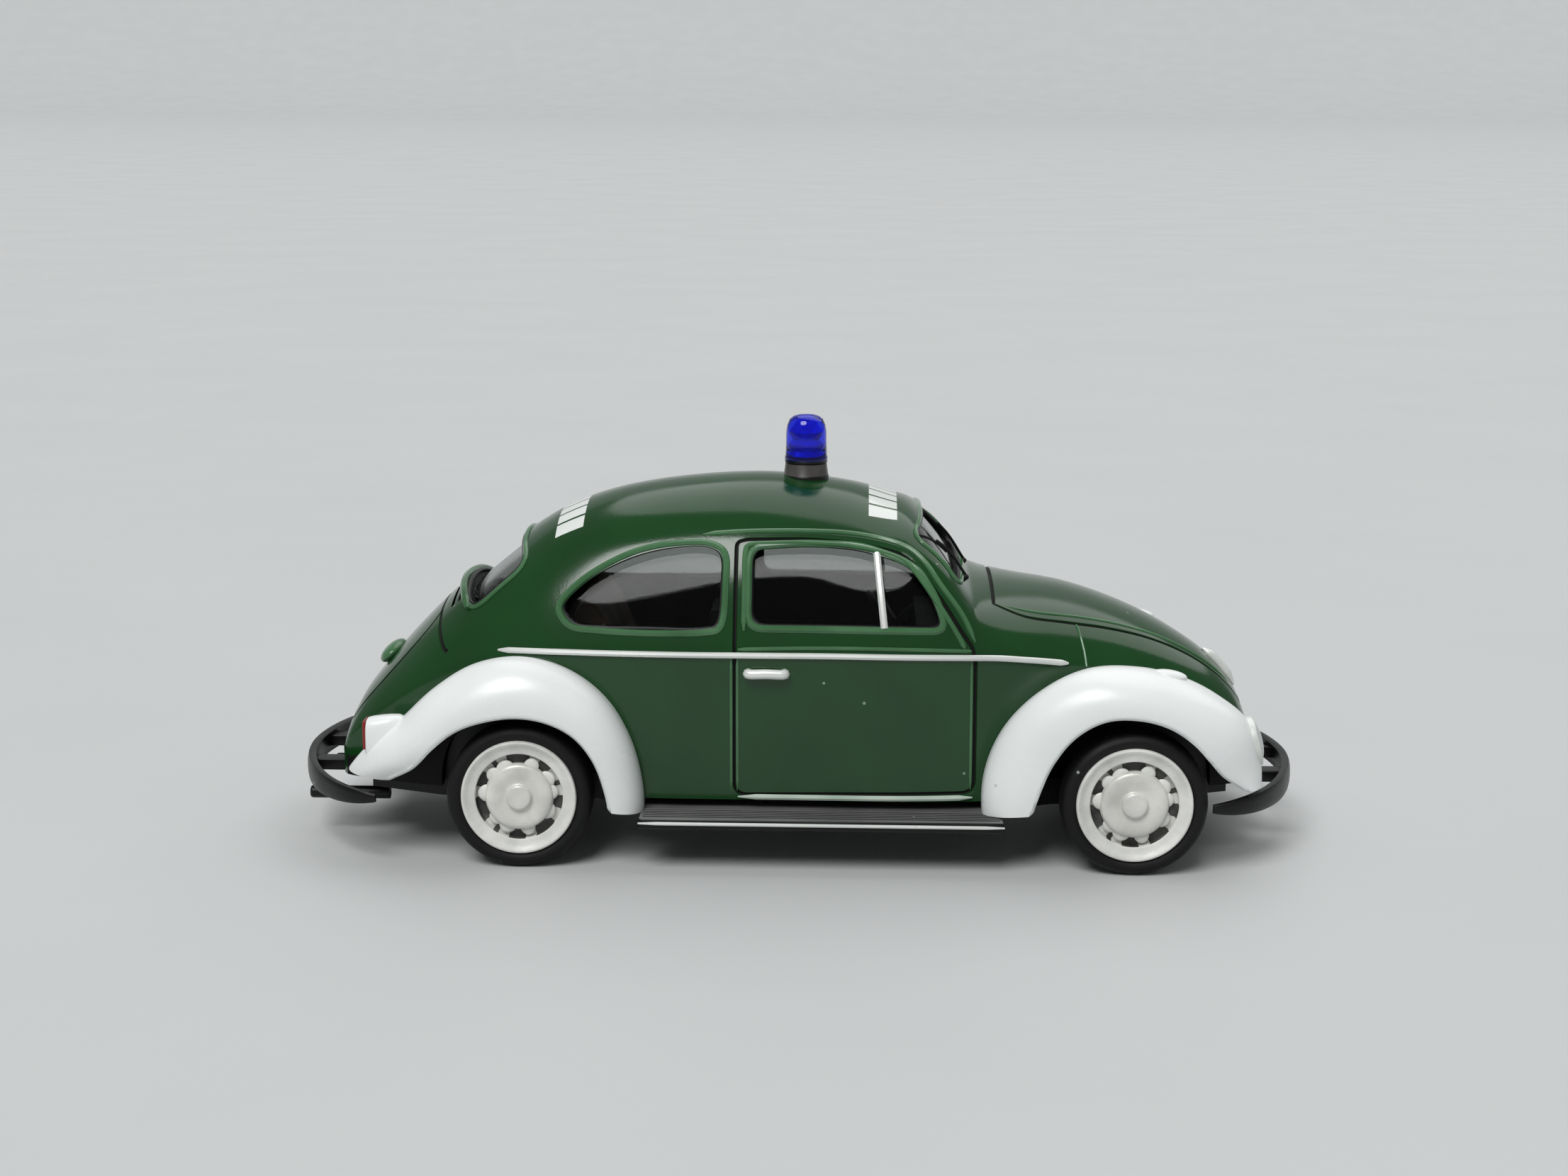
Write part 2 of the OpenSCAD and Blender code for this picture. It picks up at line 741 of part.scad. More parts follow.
module arch_disc(x, y) {
  translate([x, y, tyre_r])
    rotate([90, 0, 0])
      cylinder(h = disc_t, r = arch_r - fit_gap);
}
module chassis() {
  color("black")
    difference() {
      union() {
        translate([0, 0, chassis_h])
          linear_extrude(chassis_t)
            polygon(chassis_outline());
        translate([along(1 / 2) - pad_half_len, -pad_half_w, chassis_h - pad_t])
          cube([2 * pad_half_len, 2 * pad_half_w, pad_t]);
        for (b = [[rear_axle_x, rear_disc_y], [front_axle_x, front_disc_y]]) {
          translate([b[0] - bearing_half, -b[1], chassis_h])
            cube([2 * bearing_half, 2 * b[1], tyre_r + bearing_top - chassis_h]);
          difference() {
            for (y = [b[1], disc_t - b[1]])
              arch_disc(b[0], y);
            translate([b[0] - arch_r - over, -half_w, chassis_h - arch_r - over])
              cube([2 * arch_r + 2 * over, body_w, arch_r + over]);
          }
        }
      }
      for (x = [rear_axle_x, front_axle_x])
        translate([x, wing_half, tyre_r])
          rotate([90, 0, 0])
            cylinder(h = wing_w, r = axle_d / 2 + axle_gap);
    }
}

// Tail pipes: a pair of short tubes under the rear bumper
pipe_out_share = 0.40;
pipe_y = pipe_out_share * half_w;
pipe_len = 3.2;
pipe_drop = 0.05;
pipe_wall = 0.12;
pipe_hole_deep = 0.5;
module tail_pipes() {
  back_x = tail_x - rear_bumper_reach / 2;
  color("black")
    for (side = [-1, 1])
      translate([back_x, side * pipe_y, chassis_h - pipe_d / 2 - pipe_drop])
        rotate([0, 90, 0])
          difference() {
            cylinder(h = pipe_len, d = pipe_d);
            translate([0, 0, -over])
              cylinder(h = pipe_hole_deep + over, d = pipe_d - 2 * pipe_wall);
          }
}

// Running boards from wing to wing, with a bright strip along the edge
board_back_share = 1.367;
board_front_share = 1.467;
board_inset = 0.18;
board_drop_share = 0.4;
board_back_x = rear_axle_x + board_back_share * arch_r;
board_front_x = front_axle_x - board_front_share * arch_r;
board_in_y = chassis_side_share * half_w + fit_gap;
board_out_y = wing_half - board_inset;
board_low_z = chassis_h - board_drop_share * board_t;
board_strip_h = 0.14;
board_strip_t = 0.1;
module board_space() {
  translate([board_back_x - fit_gap, -wing_half - over, board_low_z - over])
    cube([board_front_x - board_back_x + 2 * fit_gap, wing_w + 2 * over, board_t + over + fit_gap]);
}
module running_board_left() {
  color("black")
    translate([board_back_x, board_in_y, board_low_z])
      cube([board_front_x - board_back_x, board_out_y - board_in_y, board_t]);
}
module running_board_right() {
  mirror([0, 1, 0]) running_board_left();
}
module board_strip_left() {
  color("silver")
    translate([board_back_x, board_out_y, board_low_z + board_t / 2 - board_strip_h / 2])
      cube([board_front_x - board_back_x, board_strip_t, board_strip_h]);
}
module board_strip_right() {
  mirror([0, 1, 0]) board_strip_left();
}

// Bumpers: a blade bent round the end of the car in plan
bumper_wrap = 4;
bumper_bend = 1.9;
bumper_points = 24;
function blade_point(y, half, depth) =
  [-depth * (1 - pow(1 - pow(abs(y) / half, bumper_bend), 1 / bumper_bend)), y];
function blade_edge(half, depth) = [
  for (i = [0:bumper_points])
    let (a = 90 - 180 * i / bumper_points)
    blade_point(half * sin(a), half, depth)
];
function blade_outline() =
  let (
    outer = blade_edge(bumper_w / 2, bumper_wrap),
    inner = blade_edge(bumper_w / 2 - bumper_t, bumper_wrap - bumper_t)
  )
  concat(outer, [for (i = [bumper_points:-1:0]) inner[i] - [bumper_t, 0]]);
iron_out_share = 0.30;
iron_y = iron_out_share * half_w;
iron_w = 0.9;
module bumper(x, turn, iron_len) {
  color("black")
    translate([x, 0, bumper_z])
      rotate([0, 0, turn])
        union() {
          translate([0, 0, -bumper_h / 2])
            linear_extrude(bumper_h)
              polygon(blade_outline());
          for (side = [-1, 1])
            translate([-iron_len, side * iron_y - iron_w / 2, -bumper_h / 4])
              cube([iron_len - bumper_t / 2, iron_w, bumper_h / 2]);
        }
}
module blade_space(x, turn) {
  translate([x, 0, bumper_z])
    rotate([0, 0, turn])
      linear_extrude(bumper_h + 2 * fit_gap, center = true)
        offset(delta = fit_gap) polygon(blade_outline());
}
module blade_spaces() {
  blade_space(nose_x + front_bumper_reach, 0);
  blade_space(tail_x - rear_bumper_reach, 180);
}
module front_bumper() {
  bumper(nose_x + front_bumper_reach, 0, front_bumper_reach - fit_gap);
}
module rear_bumper() {
  bumper(tail_x - rear_bumper_reach, 180, rear_bumper_reach - fit_gap);
}

// Interior tub on the chassis: a floor, door sides and a front wall
tub_back_share = 0.315;
tub_front_share = 0.675;
tub_top_share = 0.41;
tub_room = 0.4;
tub_back_x = along(tub_back_share);
tub_front_x = along(tub_front_share);
tub_half = half_w - wall - glass_gap - glass_t - tub_room;
tub_floor_z = chassis_top_z + fit_gap;
tub_top_z = height(tub_top_share);
tub_t = 0.4;
module interior_tub() {
  color("dimgray")
    difference() {
      translate([tub_back_x, -tub_half, tub_floor_z])
        cube([tub_front_x - tub_back_x, 2 * tub_half, tub_top_z - tub_floor_z]);
      translate([tub_back_x - over, tub_t - tub_half, tub_floor_z + tub_t])
        cube([tub_front_x - tub_back_x - tub_t + over, 2 * tub_half - 2 * tub_t, cabin_h]);
    }
}

// Rear bench: cushion and back in one padded moulding
bench_r = 0.7;
bench_back_share = 0.270;
bench_knee_share = 0.300;
bench_front_share = 0.368;
bench_seat_share = 0.33;
bench_top_share = 0.56;
bench_half = rear_disc_y - disc_t - tub_room / 2;
bench_back_x = along(bench_back_share);
bench_knee_x = along(bench_knee_share);
bench_front_x = along(bench_front_share);
bench_seat_z = height(bench_seat_share);
bench_top_z = height(bench_top_share);
module bench_bar(x, z) {
  translate([x, bench_half, z])
    rotate([90, 0, 0])
      cylinder(h = 2 * bench_half, r = bench_r, $fn = 24);
}
module rear_bench() {
  floor_z = tub_floor_z + tub_t + fit_gap;
  color("saddlebrown")
    union() {
      hull() {
        bench_bar(bench_back_x, bench_top_z);
        bench_bar(bench_knee_x, bench_seat_z);
        bench_bar(bench_back_x, bench_seat_z);
      }
      hull() {
        bench_bar(bench_knee_x, bench_seat_z);
        bench_bar(bench_front_x - bench_r, bench_seat_z);
        bench_bar(bench_front_x - bench_r, floor_z + bench_r);
        bench_bar(tub_back_x + bench_r, floor_z + bench_r);
      }
    }
}

// Front seats: a cushion and a leaning back each
seat_share = 0.455;
seat_aisle_half = 1.18;
seat_side_room = 0.49;
seat_cushion_share = 0.26;
seat_top_share = 0.56;
seat_len = 4.2;
seat_r = 0.55;
seat_x = along(seat_share);
seat_out_y = tub_half - tub_t - seat_side_room;
seat_y = (seat_out_y + seat_aisle_half) / 2;
seat_half_w = (seat_out_y - seat_aisle_half) / 2;
seat_cushion_z = height(seat_cushion_share);
seat_top_z = height(seat_top_share);
seat_lean = 1.6;
module seat_bar(x, z) {
  translate([x, seat_half_w, z])
    rotate([90, 0, 0])
      cylinder(h = 2 * seat_half_w, r = seat_r, $fn = 20);
}
module front_seat_left() {
  floor_z = tub_floor_z + tub_t + fit_gap;
  color("dimgray")
    translate([seat_x, seat_y, 0])
      union() {
        hull() {
          seat_bar(0, floor_z + seat_r);
          seat_bar(seat_len, floor_z + seat_r);
          seat_bar(0, seat_cushion_z);
          seat_bar(seat_len, seat_cushion_z);
        }
        hull() {
          seat_bar(0, seat_cushion_z);
          seat_bar(-seat_lean, seat_top_z);
        }
      }
}
module front_seat_right() {
  mirror([0, 1, 0]) front_seat_left();
}

// Dashboard across the car and the steering wheel in front of it on its column
dash_back_share = 0.630;
dash_low_share = 0.36;
dash_top_share = 0.51;
dash_back_x = along(dash_back_share);
dash_low_z = height(dash_low_share);
dash_top_z = height(dash_top_share);
dash_half = tub_half - tub_t - fit_gap;
module dashboard() {
  color("black")
    translate([dash_back_x, -dash_half, dash_low_z])
      cube([tub_front_x - tub_t - fit_gap - dash_back_x, 2 * dash_half, dash_top_z - dash_low_z]);
}
steering_side_room = 0.09;
steering_y = tub_half - tub_t - steering_side_room - steering_d / 2;
steering_lean = 50;
steering_gap = 0.9;
steering_ring_r = 0.18;
column_r = 0.22;
steering_height_share = 0.44;
spoke_count = 3;
steering_x = dash_back_x - steering_gap;
steering_z = height(steering_height_share);
module steering_wheel() {
  ring_r = steering_d / 2 - steering_ring_r;
  color("black")
    intersection() {
      translate([steering_x, steering_y, steering_z])
        rotate([0, steering_lean, 0])
          union() {
            rotate_extrude()
              translate([ring_r, 0])
                circle(steering_ring_r);
            for (i = [0:spoke_count - 1])
              rotate([0, 90, 360 * i / spoke_count])
                cylinder(h = ring_r, r = steering_ring_r);
            cylinder(h = 2 * steering_gap, r = column_r);
          }
      translate([tail_x, -half_w, 0])
        cube([dash_back_x - fit_gap - tail_x, body_w, roof_h]);
    }
}

// Roof light: a foot with a peg through the roof, and the dome on it
module light_foot() {
  color("black")
    translate([light_x, 0, seat_z])
      union() {
        cylinder(h = seat_drop + foot_h, d = foot_d);
        translate([0, 0, -peg_len])
          cylinder(h = peg_len + seat_drop, d = peg_d);
      }
}
dome_top_r = 0.8;
module light_dome() {
  color("blue", 0.8)
    translate([light_x, 0, seat_z + seat_drop + foot_h])
      rotate_extrude()
        intersection() {
          union() {
            square([dome_d / 2, dome_h - dome_top_r]);
            square([dome_d / 2 - dome_top_r, dome_h]);
            translate([dome_d / 2 - dome_top_r, dome_h - dome_top_r])
              circle(dome_top_r);
          }
          square([dome_d, dome_h]);
        }
}

// Door handles: a bar that stands on the door on two feet
handle_back_share = 0.4485;
handle_height_share = 0.434;
handle_back_x = along(handle_back_share);
handle_z = height(handle_height_share);
handle_h = 0.42;
handle_out = 0.4;
handle_t = 0.22;
module door_handle_left() {
  share = (handle_back_x + handle_len / 2 - tail_x) / body_len;
  y = skin_y(share, handle_z) + fit_gap;
  color("silver")
    translate([handle_back_x, y, handle_z - handle_h / 2])
      union() {
        translate([0, handle_out - handle_t, 0])
          cube([handle_len, handle_t, handle_h]);
        for (x = [0, handle_len - handle_t])
          translate([x, 0, 0])
            cube([handle_t, handle_out, handle_h]);
      }
}
module door_handle_right() {
  mirror([0, 1, 0]) door_handle_left();
}

// Belt strips along the sides just under the windows
strip_shares = [
  [0.186, 0.493], [0.260, 0.491], [0.436, 0.494], [0.560, 0.498],
  [0.690, 0.501], [0.740, 0.490], [0.786, 0.474]
];
strip_steps = 3;
module belt_bar(room) {
  rings = [
    for (p = curve(strip_shares, strip_steps))
      let (
        x = along(p[0]),
        z = height(p[1]),
        y = max([for (k = [-1, 0, 1]) skin_y(p[0], z + k * strip_h / 2)]) + fit_gap,
        half_h = strip_h / 2 + room
      )
      [
        [x, y - room, z - half_h],
        [x, y + strip_t + room, z - half_h],
        [x, y + strip_t + room, z + half_h],
        [x, y - room, z + half_h]
      ]
  ];
  loft(rings);
}
module belt_strip_left() {
  color("silver") belt_bar(0);
}
module belt_strip_right() {
  mirror([0, 1, 0]) belt_strip_left();
}

// Quarter-light bars between the door window and its front pane
vent_low_shares = [0.595, 0.545];
vent_high_shares = [0.5840, 0.826];
vent_bar_w = 0.36;
vent_bar_t = 0.2;
vent_bar_steps = 6;
module vent_bar_left() {
  rings = [
    for (i = [0:vent_bar_steps])
      let (
        p = vent_low_shares + (vent_high_shares - vent_low_shares) * i / vent_bar_steps,
        x = along(p[0]),
        z = height(p[1]),
        y = skin_y(p[0], z) + fit_gap
      )
      [
        [x - vent_bar_w / 2, y, z],
        [x + vent_bar_w / 2, y, z],
        [x + vent_bar_w / 2, y + vent_bar_t, z],
        [x - vent_bar_w / 2, y + vent_bar_t, z]
      ]
  ];
  color("silver") loft(rings);
}
module vent_bar_right() {
  mirror([0, 1, 0]) vent_bar_left();
}

// Bonnet handle: a bright strip down the middle of the nose
bonnet_handle_shares = [0.952, 0.962, 0.971, 0.979, 0.985];
bonnet_handle_half = 0.3;
bonnet_handle_t = 0.22;
module bonnet_handle() {
  rings = [
    for (share = bonnet_handle_shares)
      let (x = along(share), z = skin_top(share) + fit_gap)
      [
        [x, bonnet_handle_half, z],
        [x, -bonnet_handle_half, z],
        [x + bonnet_handle_t, -bonnet_handle_half, z + bonnet_handle_t],
        [x + bonnet_handle_t, bonnet_handle_half, z + bonnet_handle_t]
      ]
  ];
  color("silver") loft(flipped(rings));
}

// Wipers: a pair of thin rods that lie up the windscreen
wiper_r = 0.12;
wiper_len = 2.6;
wiper_y_shares = [-0.42, 0.12];
wiper_foot_share = 0.6935;
wiper_lean = 28;
module wipers() {
  color("black")
    for (share = wiper_y_shares)
      translate([along(wiper_foot_share), share * half_w, skin_top(wiper_foot_share) + wiper_r + fit_gap])
        rotate([0, -windscreen_tilt, 0])
          rotate([wiper_lean, 0, 0])
            cylinder(h = wiper_len, r = wiper_r);
}

// Axles, rims, tyres and hub caps
rim_bore_gap = 0.005;
rim_dish = 0.35;
rim_lip = 0.3;
hub_face = 0.55;
cap_h = 0.4;
module at_wheel(x, side) {
  translate([x, side * wheel_in_y, tyre_r])
    rotate([-90 * side, 0, 0])
      children();
}
module axle(x) {
  half = wheel_in_y + tyre_w - hub_face;
  color("lightgray")
    translate([x, half, tyre_r])
      rotate([90, 0, 0])
        cylinder(h = 2 * half, d = axle_d);
}
module axle_front() {
  axle(front_axle_x);
}
module axle_rear() {
  axle(rear_axle_x);
}
module rim(x, side) {
  color("whitesmoke")
    at_wheel(x, side)
      difference() {
        cylinder(h = tyre_w, d = rim_d);
        translate([0, 0, tyre_w - rim_dish])
          cylinder(h = rim_dish + over, d = rim_d - 2 * rim_lip);
        translate([0, 0, -over])
          cylinder(h = tyre_w - hub_face + over, d = axle_d + 2 * rim_bore_gap);
      }
}
tyre_shoulder = 0.3;
module tyre(x, side) {
  color("black")
    at_wheel(x, side)
      rotate_extrude()
        polygon([
          [rim_d / 2, 0], [tyre_r - tyre_shoulder, 0], [tyre_r, tyre_shoulder],
          [tyre_r, tyre_w - tyre_shoulder], [tyre_r - tyre_shoulder, tyre_w], [rim_d / 2, tyre_w]
        ]);
}
module hub_cap(x, side) {
  dome_r = (cap_d * cap_d / 4 + cap_h * cap_h) / (2 * cap_h);
  color("silver")
    at_wheel(x, side)
      translate([0, 0, tyre_w - rim_dish])
        rotate_extrude()
          intersection() {
            translate([0, cap_h - dome_r])
              circle(dome_r, $fn = 180);
            square([cap_d / 2, cap_h]);
          }
}
module rim_front_left() { rim(front_axle_x, 1); }
module rim_front_right() { rim(front_axle_x, -1); }
module rim_rear_left() { rim(rear_axle_x, 1); }
module rim_rear_right() { rim(rear_axle_x, -1); }
module tyre_front_left() { tyre(front_axle_x, 1); }
module tyre_front_right() { tyre(front_axle_x, -1); }
module tyre_rear_left() { tyre(rear_axle_x, 1); }
module tyre_rear_right() { tyre(rear_axle_x, -1); }
module hub_cap_front_left() { hub_cap(front_axle_x, 1); }
module hub_cap_front_right() { hub_cap(front_axle_x, -1); }
module hub_cap_rear_left() { hub_cap(rear_axle_x, 1); }
module hub_cap_rear_right() { hub_cap(rear_axle_x, -1); }

body_shell();
glazing();
wing_front_left();
wing_front_right();
wing_rear_left();
wing_rear_right();
chassis();
tail_pipes();
running_board_left();
running_board_right();
board_strip_left();
board_strip_right();
front_bumper();
rear_bumper();
interior_tub();
rear_bench();
front_seat_left();
front_seat_right();
dashboard();
steering_wheel();
light_foot();
light_dome();
headlamp_left();
headlamp_right();
tail_lamp_left();
tail_lamp_right();
door_handle_left();
door_handle_right();
belt_strip_left();
belt_strip_right();
vent_bar_left();
vent_bar_right();
bonnet_handle();
wipers();
axle_front();
axle_rear();
rim_front_left();
rim_front_right();
rim_rear_left();
rim_rear_right();
tyre_front_left();
tyre_front_right();
tyre_rear_left();
tyre_rear_right();
hub_cap_front_left();
hub_cap_front_right();
hub_cap_rear_left();
hub_cap_rear_right();
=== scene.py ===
import bisect
from collections import namedtuple
from math import atan2, ceil, copysign, cos, hypot, pi, radians, sin, sqrt

import bpy
from mathutils import Matrix, Vector


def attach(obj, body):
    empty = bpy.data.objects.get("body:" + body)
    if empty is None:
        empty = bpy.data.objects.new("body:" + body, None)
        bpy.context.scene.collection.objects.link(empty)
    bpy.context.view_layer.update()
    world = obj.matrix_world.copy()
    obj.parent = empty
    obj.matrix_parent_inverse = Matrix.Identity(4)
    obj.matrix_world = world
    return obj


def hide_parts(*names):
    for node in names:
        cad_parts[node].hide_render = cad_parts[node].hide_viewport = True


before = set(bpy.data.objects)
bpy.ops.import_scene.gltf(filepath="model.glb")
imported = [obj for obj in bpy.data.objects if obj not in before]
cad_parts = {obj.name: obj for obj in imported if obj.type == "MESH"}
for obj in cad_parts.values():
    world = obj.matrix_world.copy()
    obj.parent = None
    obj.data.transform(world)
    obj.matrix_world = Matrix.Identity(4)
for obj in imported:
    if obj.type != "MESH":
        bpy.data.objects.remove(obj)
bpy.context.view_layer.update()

# Millimetres in this file, metres in the meshes
MM = 0.001

# Main sizes of the car
TAIL_X = -21.2
BODY_LEN = 42.5
SILL_H = 2.95
CABIN_H = 13.95
HALF_W = 7.2
WING_HALF = 8.85
ARCH_R = 3.95
TYRE_R = 3.3
WALL = 0.7
FRONT_AXLE_X = 15.3
REAR_AXLE_X = -12.3
WHEEL_IN_Y = 6.4
CLEAR_Y = 12.0
SIDES = {"left": 1, "right": -1}


def along(share):
    return TAIL_X + share * BODY_LEN


def height(share):
    return SILL_H + share * CABIN_H


def side_points(shares):
    return [(along(x), height(z)) for x, z in shares]


def plan_points(shares):
    return [(along(x), y * HALF_W) for x, y in shares]


# Stations of the body from tail to nose: place, top, half width, shoulder, crown and corner sharpness
BODY_SHARES = [
    (0.000, 0.125, 0.470, 0.090, 0.50, 4.5),
    (0.006, 0.186, 0.530, 0.118, 0.50, 4.5),
    (0.019, 0.262, 0.576, 0.161, 0.50, 4.5),
    (0.040, 0.344, 0.632, 0.219, 0.50, 4.5),
    (0.073, 0.459, 0.708, 0.297, 0.50, 4.5),
    (0.110, 0.573, 0.778, 0.369, 0.50, 5.0),
    (0.153, 0.688, 0.847, 0.427, 0.50, 5.0),
    (0.198, 0.795, 0.903, 0.462, 0.50, 5.0),
    (0.245, 0.882, 0.944, 0.484, 0.50, 5.5),
    (0.304, 0.946, 0.979, 0.495, 0.50, 6.0),
    (0.381, 0.986, 1.000, 0.495, 0.50, 6.0),
    (0.468, 1.000, 1.000, 0.495, 0.50, 6.0),
    (0.548, 0.975, 1.000, 0.495, 0.46, 6.0),
    (0.595, 0.938, 0.996, 0.495, 0.38, 7.0),
    (0.627, 0.900, 0.990, 0.495, 0.25, 8.0),
    (0.656, 0.806, 0.980, 0.495, 0.15, 9.0),
    (0.682, 0.688, 0.965, 0.495, 0.18, 8.0),
    (0.697, 0.668, 0.954, 0.491, 0.32, 6.0),
    (0.736, 0.652, 0.917, 0.477, 0.50, 5.0),
    (0.793, 0.627, 0.833, 0.448, 0.55, 5.0),
    (0.847, 0.577, 0.736, 0.405, 0.55, 5.0),
    (0.901, 0.502, 0.639, 0.340, 0.55, 5.0),
    (0.948, 0.409, 0.542, 0.262, 0.55, 5.0),
    (0.979, 0.312, 0.458, 0.190, 0.55, 5.0),
    (0.994, 0.219, 0.389, 0.133, 0.55, 5.0),
    (1.000, 0.133, 0.333, 0.090, 0.55, 5.0),
]
SIDE_LEAN = 0.29
SILL_WIDTH = 0.97


# Smooth curves through rows of numbers
def curve_point(a, b, c, d, t):
    return tuple(
        (2 * q + (r - p) * t + (2 * p - 5 * q + 4 * r - s) * t * t + (3 * q - p - 3 * r + s) * t ** 3) / 2
        for p, q, r, s in zip(a, b, c, d)
    )


def open_curve(rows, steps):
    last = len(rows) - 1
    out = []
    for i in range(last):
        around = [rows[max(i - 1, 0)], rows[i], rows[i + 1], rows[min(i + 2, last)]]
        out += [curve_point(*around, k / steps) for k in range(steps)]
    return out + [tuple(rows[last])]


def closed_curve(points, steps):
    n = len(points)
    out = []
    for i in range(n):
        around = [points[(i + j) % n] for j in (n - 1, n, n + 1, n + 2)]
        out += [curve_point(*around, k / steps) for k in range(steps)]
    return out


# The skin of the body
FINE_ROWS = open_curve(BODY_SHARES, 12)
FINE_PLACES = [row[0] for row in FINE_ROWS]
Section = namedtuple("Section", "x top wide shoulder crown corner")


def station(row, grow=0.0):
    share, top, wide, shoulder, crown, corner = row
    return Section(
        along(0.5) + (share - 0.5) * (BODY_LEN + 2 * grow),
        height(top) + grow,
        wide * HALF_W + grow,
        height(shoulder) + grow,
        crown,
        corner,
    )


def skin_reach(s, a):
    """Distance from the shoulder line to the skin at an angle up the section."""
    rise = s.top - s.shoulder
    crown = s.crown * rise / (s.wide * s.wide)
    side = s.wide / (cos(a) + SIDE_LEAN * sin(a))
    top = 2 * rise / (sin(a) + sqrt(sin(a) ** 2 + 4 * crown * rise * cos(a) ** 2))
    return (side ** -s.corner + top ** -s.corner) ** (-1 / s.corner)


def station_at(x, grow=0.0):
    share = min(max((x - TAIL_X) / BODY_LEN, 0.0), 1.0)
    i = min(max(bisect.bisect_right(FINE_PLACES, share) - 1, 0), len(FINE_ROWS) - 2)
    a, b = FINE_ROWS[i], FINE_ROWS[i + 1]
    t = (share - a[0]) / (b[0] - a[0])
    return station(tuple(p + (q - p) * t for p, q in zip(a, b)), grow)


HALVINGS = 30


def halved(high, holds):
    """Where a test stops holding between nought and a limit, found by halving."""
    low = 0.0
    for _ in range(HALVINGS):
        mid = (low + high) / 2
        if holds(mid):
            low = mid
        else:
            high = mid
    return low


def skin_y(x, z, grow=0.0):
    s = station_at(x, grow)
    if z <= s.shoulder:
        return skin_reach(s, 0) * (SILL_WIDTH + (1 - SILL_WIDTH) * (z - SILL_H) / (s.shoulder - SILL_H))
    a = halved(pi / 2, lambda turn: s.shoulder + skin_reach(s, turn) * sin(turn) < z)
    return skin_reach(s, a) * cos(a)


def skin_z(x, y):
    s = station_at(x)
    a = halved(pi / 2, lambda turn: skin_reach(s, turn) * cos(turn) > abs(y))
    return s.shoulder + skin_reach(s, a) * sin(a)


def top_path(points, side=1, out=0.0):
    """Points of the plan laid on the skin."""
    return [(x, side * y, skin_z(x, y) + out) for x, y in points]


def below_skin(p, depth=0.0):
    s = station_at(p.x, -depth)
    if p.z <= s.shoulder:
        return abs(p.y) < skin_y(p.x, p.z, -depth)
    a = atan2(p.z - s.shoulder, abs(p.y))
    return hypot(p.y, p.z - s.shoulder) < skin_reach(s, a)


RAY_START = 2.2
RAY_REACH = 4.0


def on_skin(point, normal, out=0.0):
    """A point brought on to the skin along a normal, then lifted off it."""
    start = point + normal * RAY_START

    def outside(t):
        p = start - normal * t
        return not (TAIL_X < p.x < TAIL_X + BODY_LEN and below_skin(p))

    return start - normal * halved(RAY_REACH, outside) + normal * out


# Working tools: each makes or changes one object
def shown(obj):
    bpy.context.scene.collection.objects.link(obj)


def only(obj):
    bpy.ops.object.select_all(action="DESELECT")
    obj.select_set(True)
    bpy.context.view_layer.objects.active = obj


def discard(obj):
    bpy.data.objects.remove(obj, do_unlink=True)


def added(name):
    bpy.context.object.name = name
    return bpy.context.object


def moved(x, y, z):
    return Matrix.Translation(Vector((x, y, z)) * MM)


def close_up(obj):
    only(obj)
    bpy.ops.object.mode_set(mode="EDIT")
    bpy.ops.mesh.select_all(action="SELECT")
    bpy.ops.mesh.remove_doubles(threshold=1e-7)
    bpy.ops.mesh.fill_holes(sides=0)
    bpy.ops.mesh.normals_make_consistent(inside=False)
    bpy.ops.object.mode_set(mode="OBJECT")
    return obj


def formed(name, rings):
    """A grid bent through rings of points and closed into a solid."""
    around = len(rings[0])
    bpy.ops.mesh.primitive_grid_add(x_subdivisions=around, y_subdivisions=len(rings) - 1, size=2)
    obj = added(name)
    for v in obj.data.vertices:
        i = round((v.co.x + 1) / 2 * around) % around
        j = round((v.co.y + 1) / 2 * (len(rings) - 1))
        v.co = Vector(rings[j][i]) * MM
    return close_up(obj)


def turned(name, profile, sides=64):
    """A round piece about Z, drawn out ring by ring from a circle."""
    radius, low = profile[0]
    bpy.ops.mesh.primitive_circle_add(vertices=sides, radius=radius * MM)
    obj = added(name)
    obj.data.transform(Matrix.Translation((0, 0, low * MM)))
    bpy.ops.object.mode_set(mode="EDIT")
    bpy.ops.mesh.select_all(action="SELECT")
    for (r0, z0), (r1, z1) in zip(profile, profile[1:]):
        bpy.ops.mesh.extrude_region_move(TRANSFORM_OT_translate={"value": (0, 0, (z1 - z0) * MM)})
        bpy.ops.transform.resize(value=(r1 / r0, r1 / r0, 1))
    bpy.ops.object.mode_set(mode="OBJECT")
    return close_up(obj)


def tube(name, path, radius, closed=False, taper=0):
    """A round bead along a path. Its ends may thin out over a few points."""
    curve = bpy.data.curves.new(name, "CURVE")
    curve.dimensions = "3D"
    curve.bevel_depth = radius * MM
    curve.bevel_resolution = 2
    curve.use_fill_caps = not closed
    spline = curve.splines.new("POLY")
    spline.points.add(len(path) - 1)
    for i, p in enumerate(path):
        spline.points[i].co = (*(Vector(p) * MM), 1)
        if taper:
            spline.points[i].radius = min(1.0, (min(i, len(path) - 1 - i) + 1) / taper)
    spline.use_cyclic_u = closed
    obj = bpy.data.objects.new(name, curve)
    shown(obj)
    only(obj)
    bpy.ops.object.convert(target="MESH")
    return close_up(bpy.context.object)


def rounded(obj, width, segments=3):
    bevel = obj.modifiers.new("edges", "BEVEL")
    bevel.width = width * MM
    bevel.segments = segments
    only(obj)
    bpy.ops.object.modifier_apply(modifier=bevel.name)
    return obj


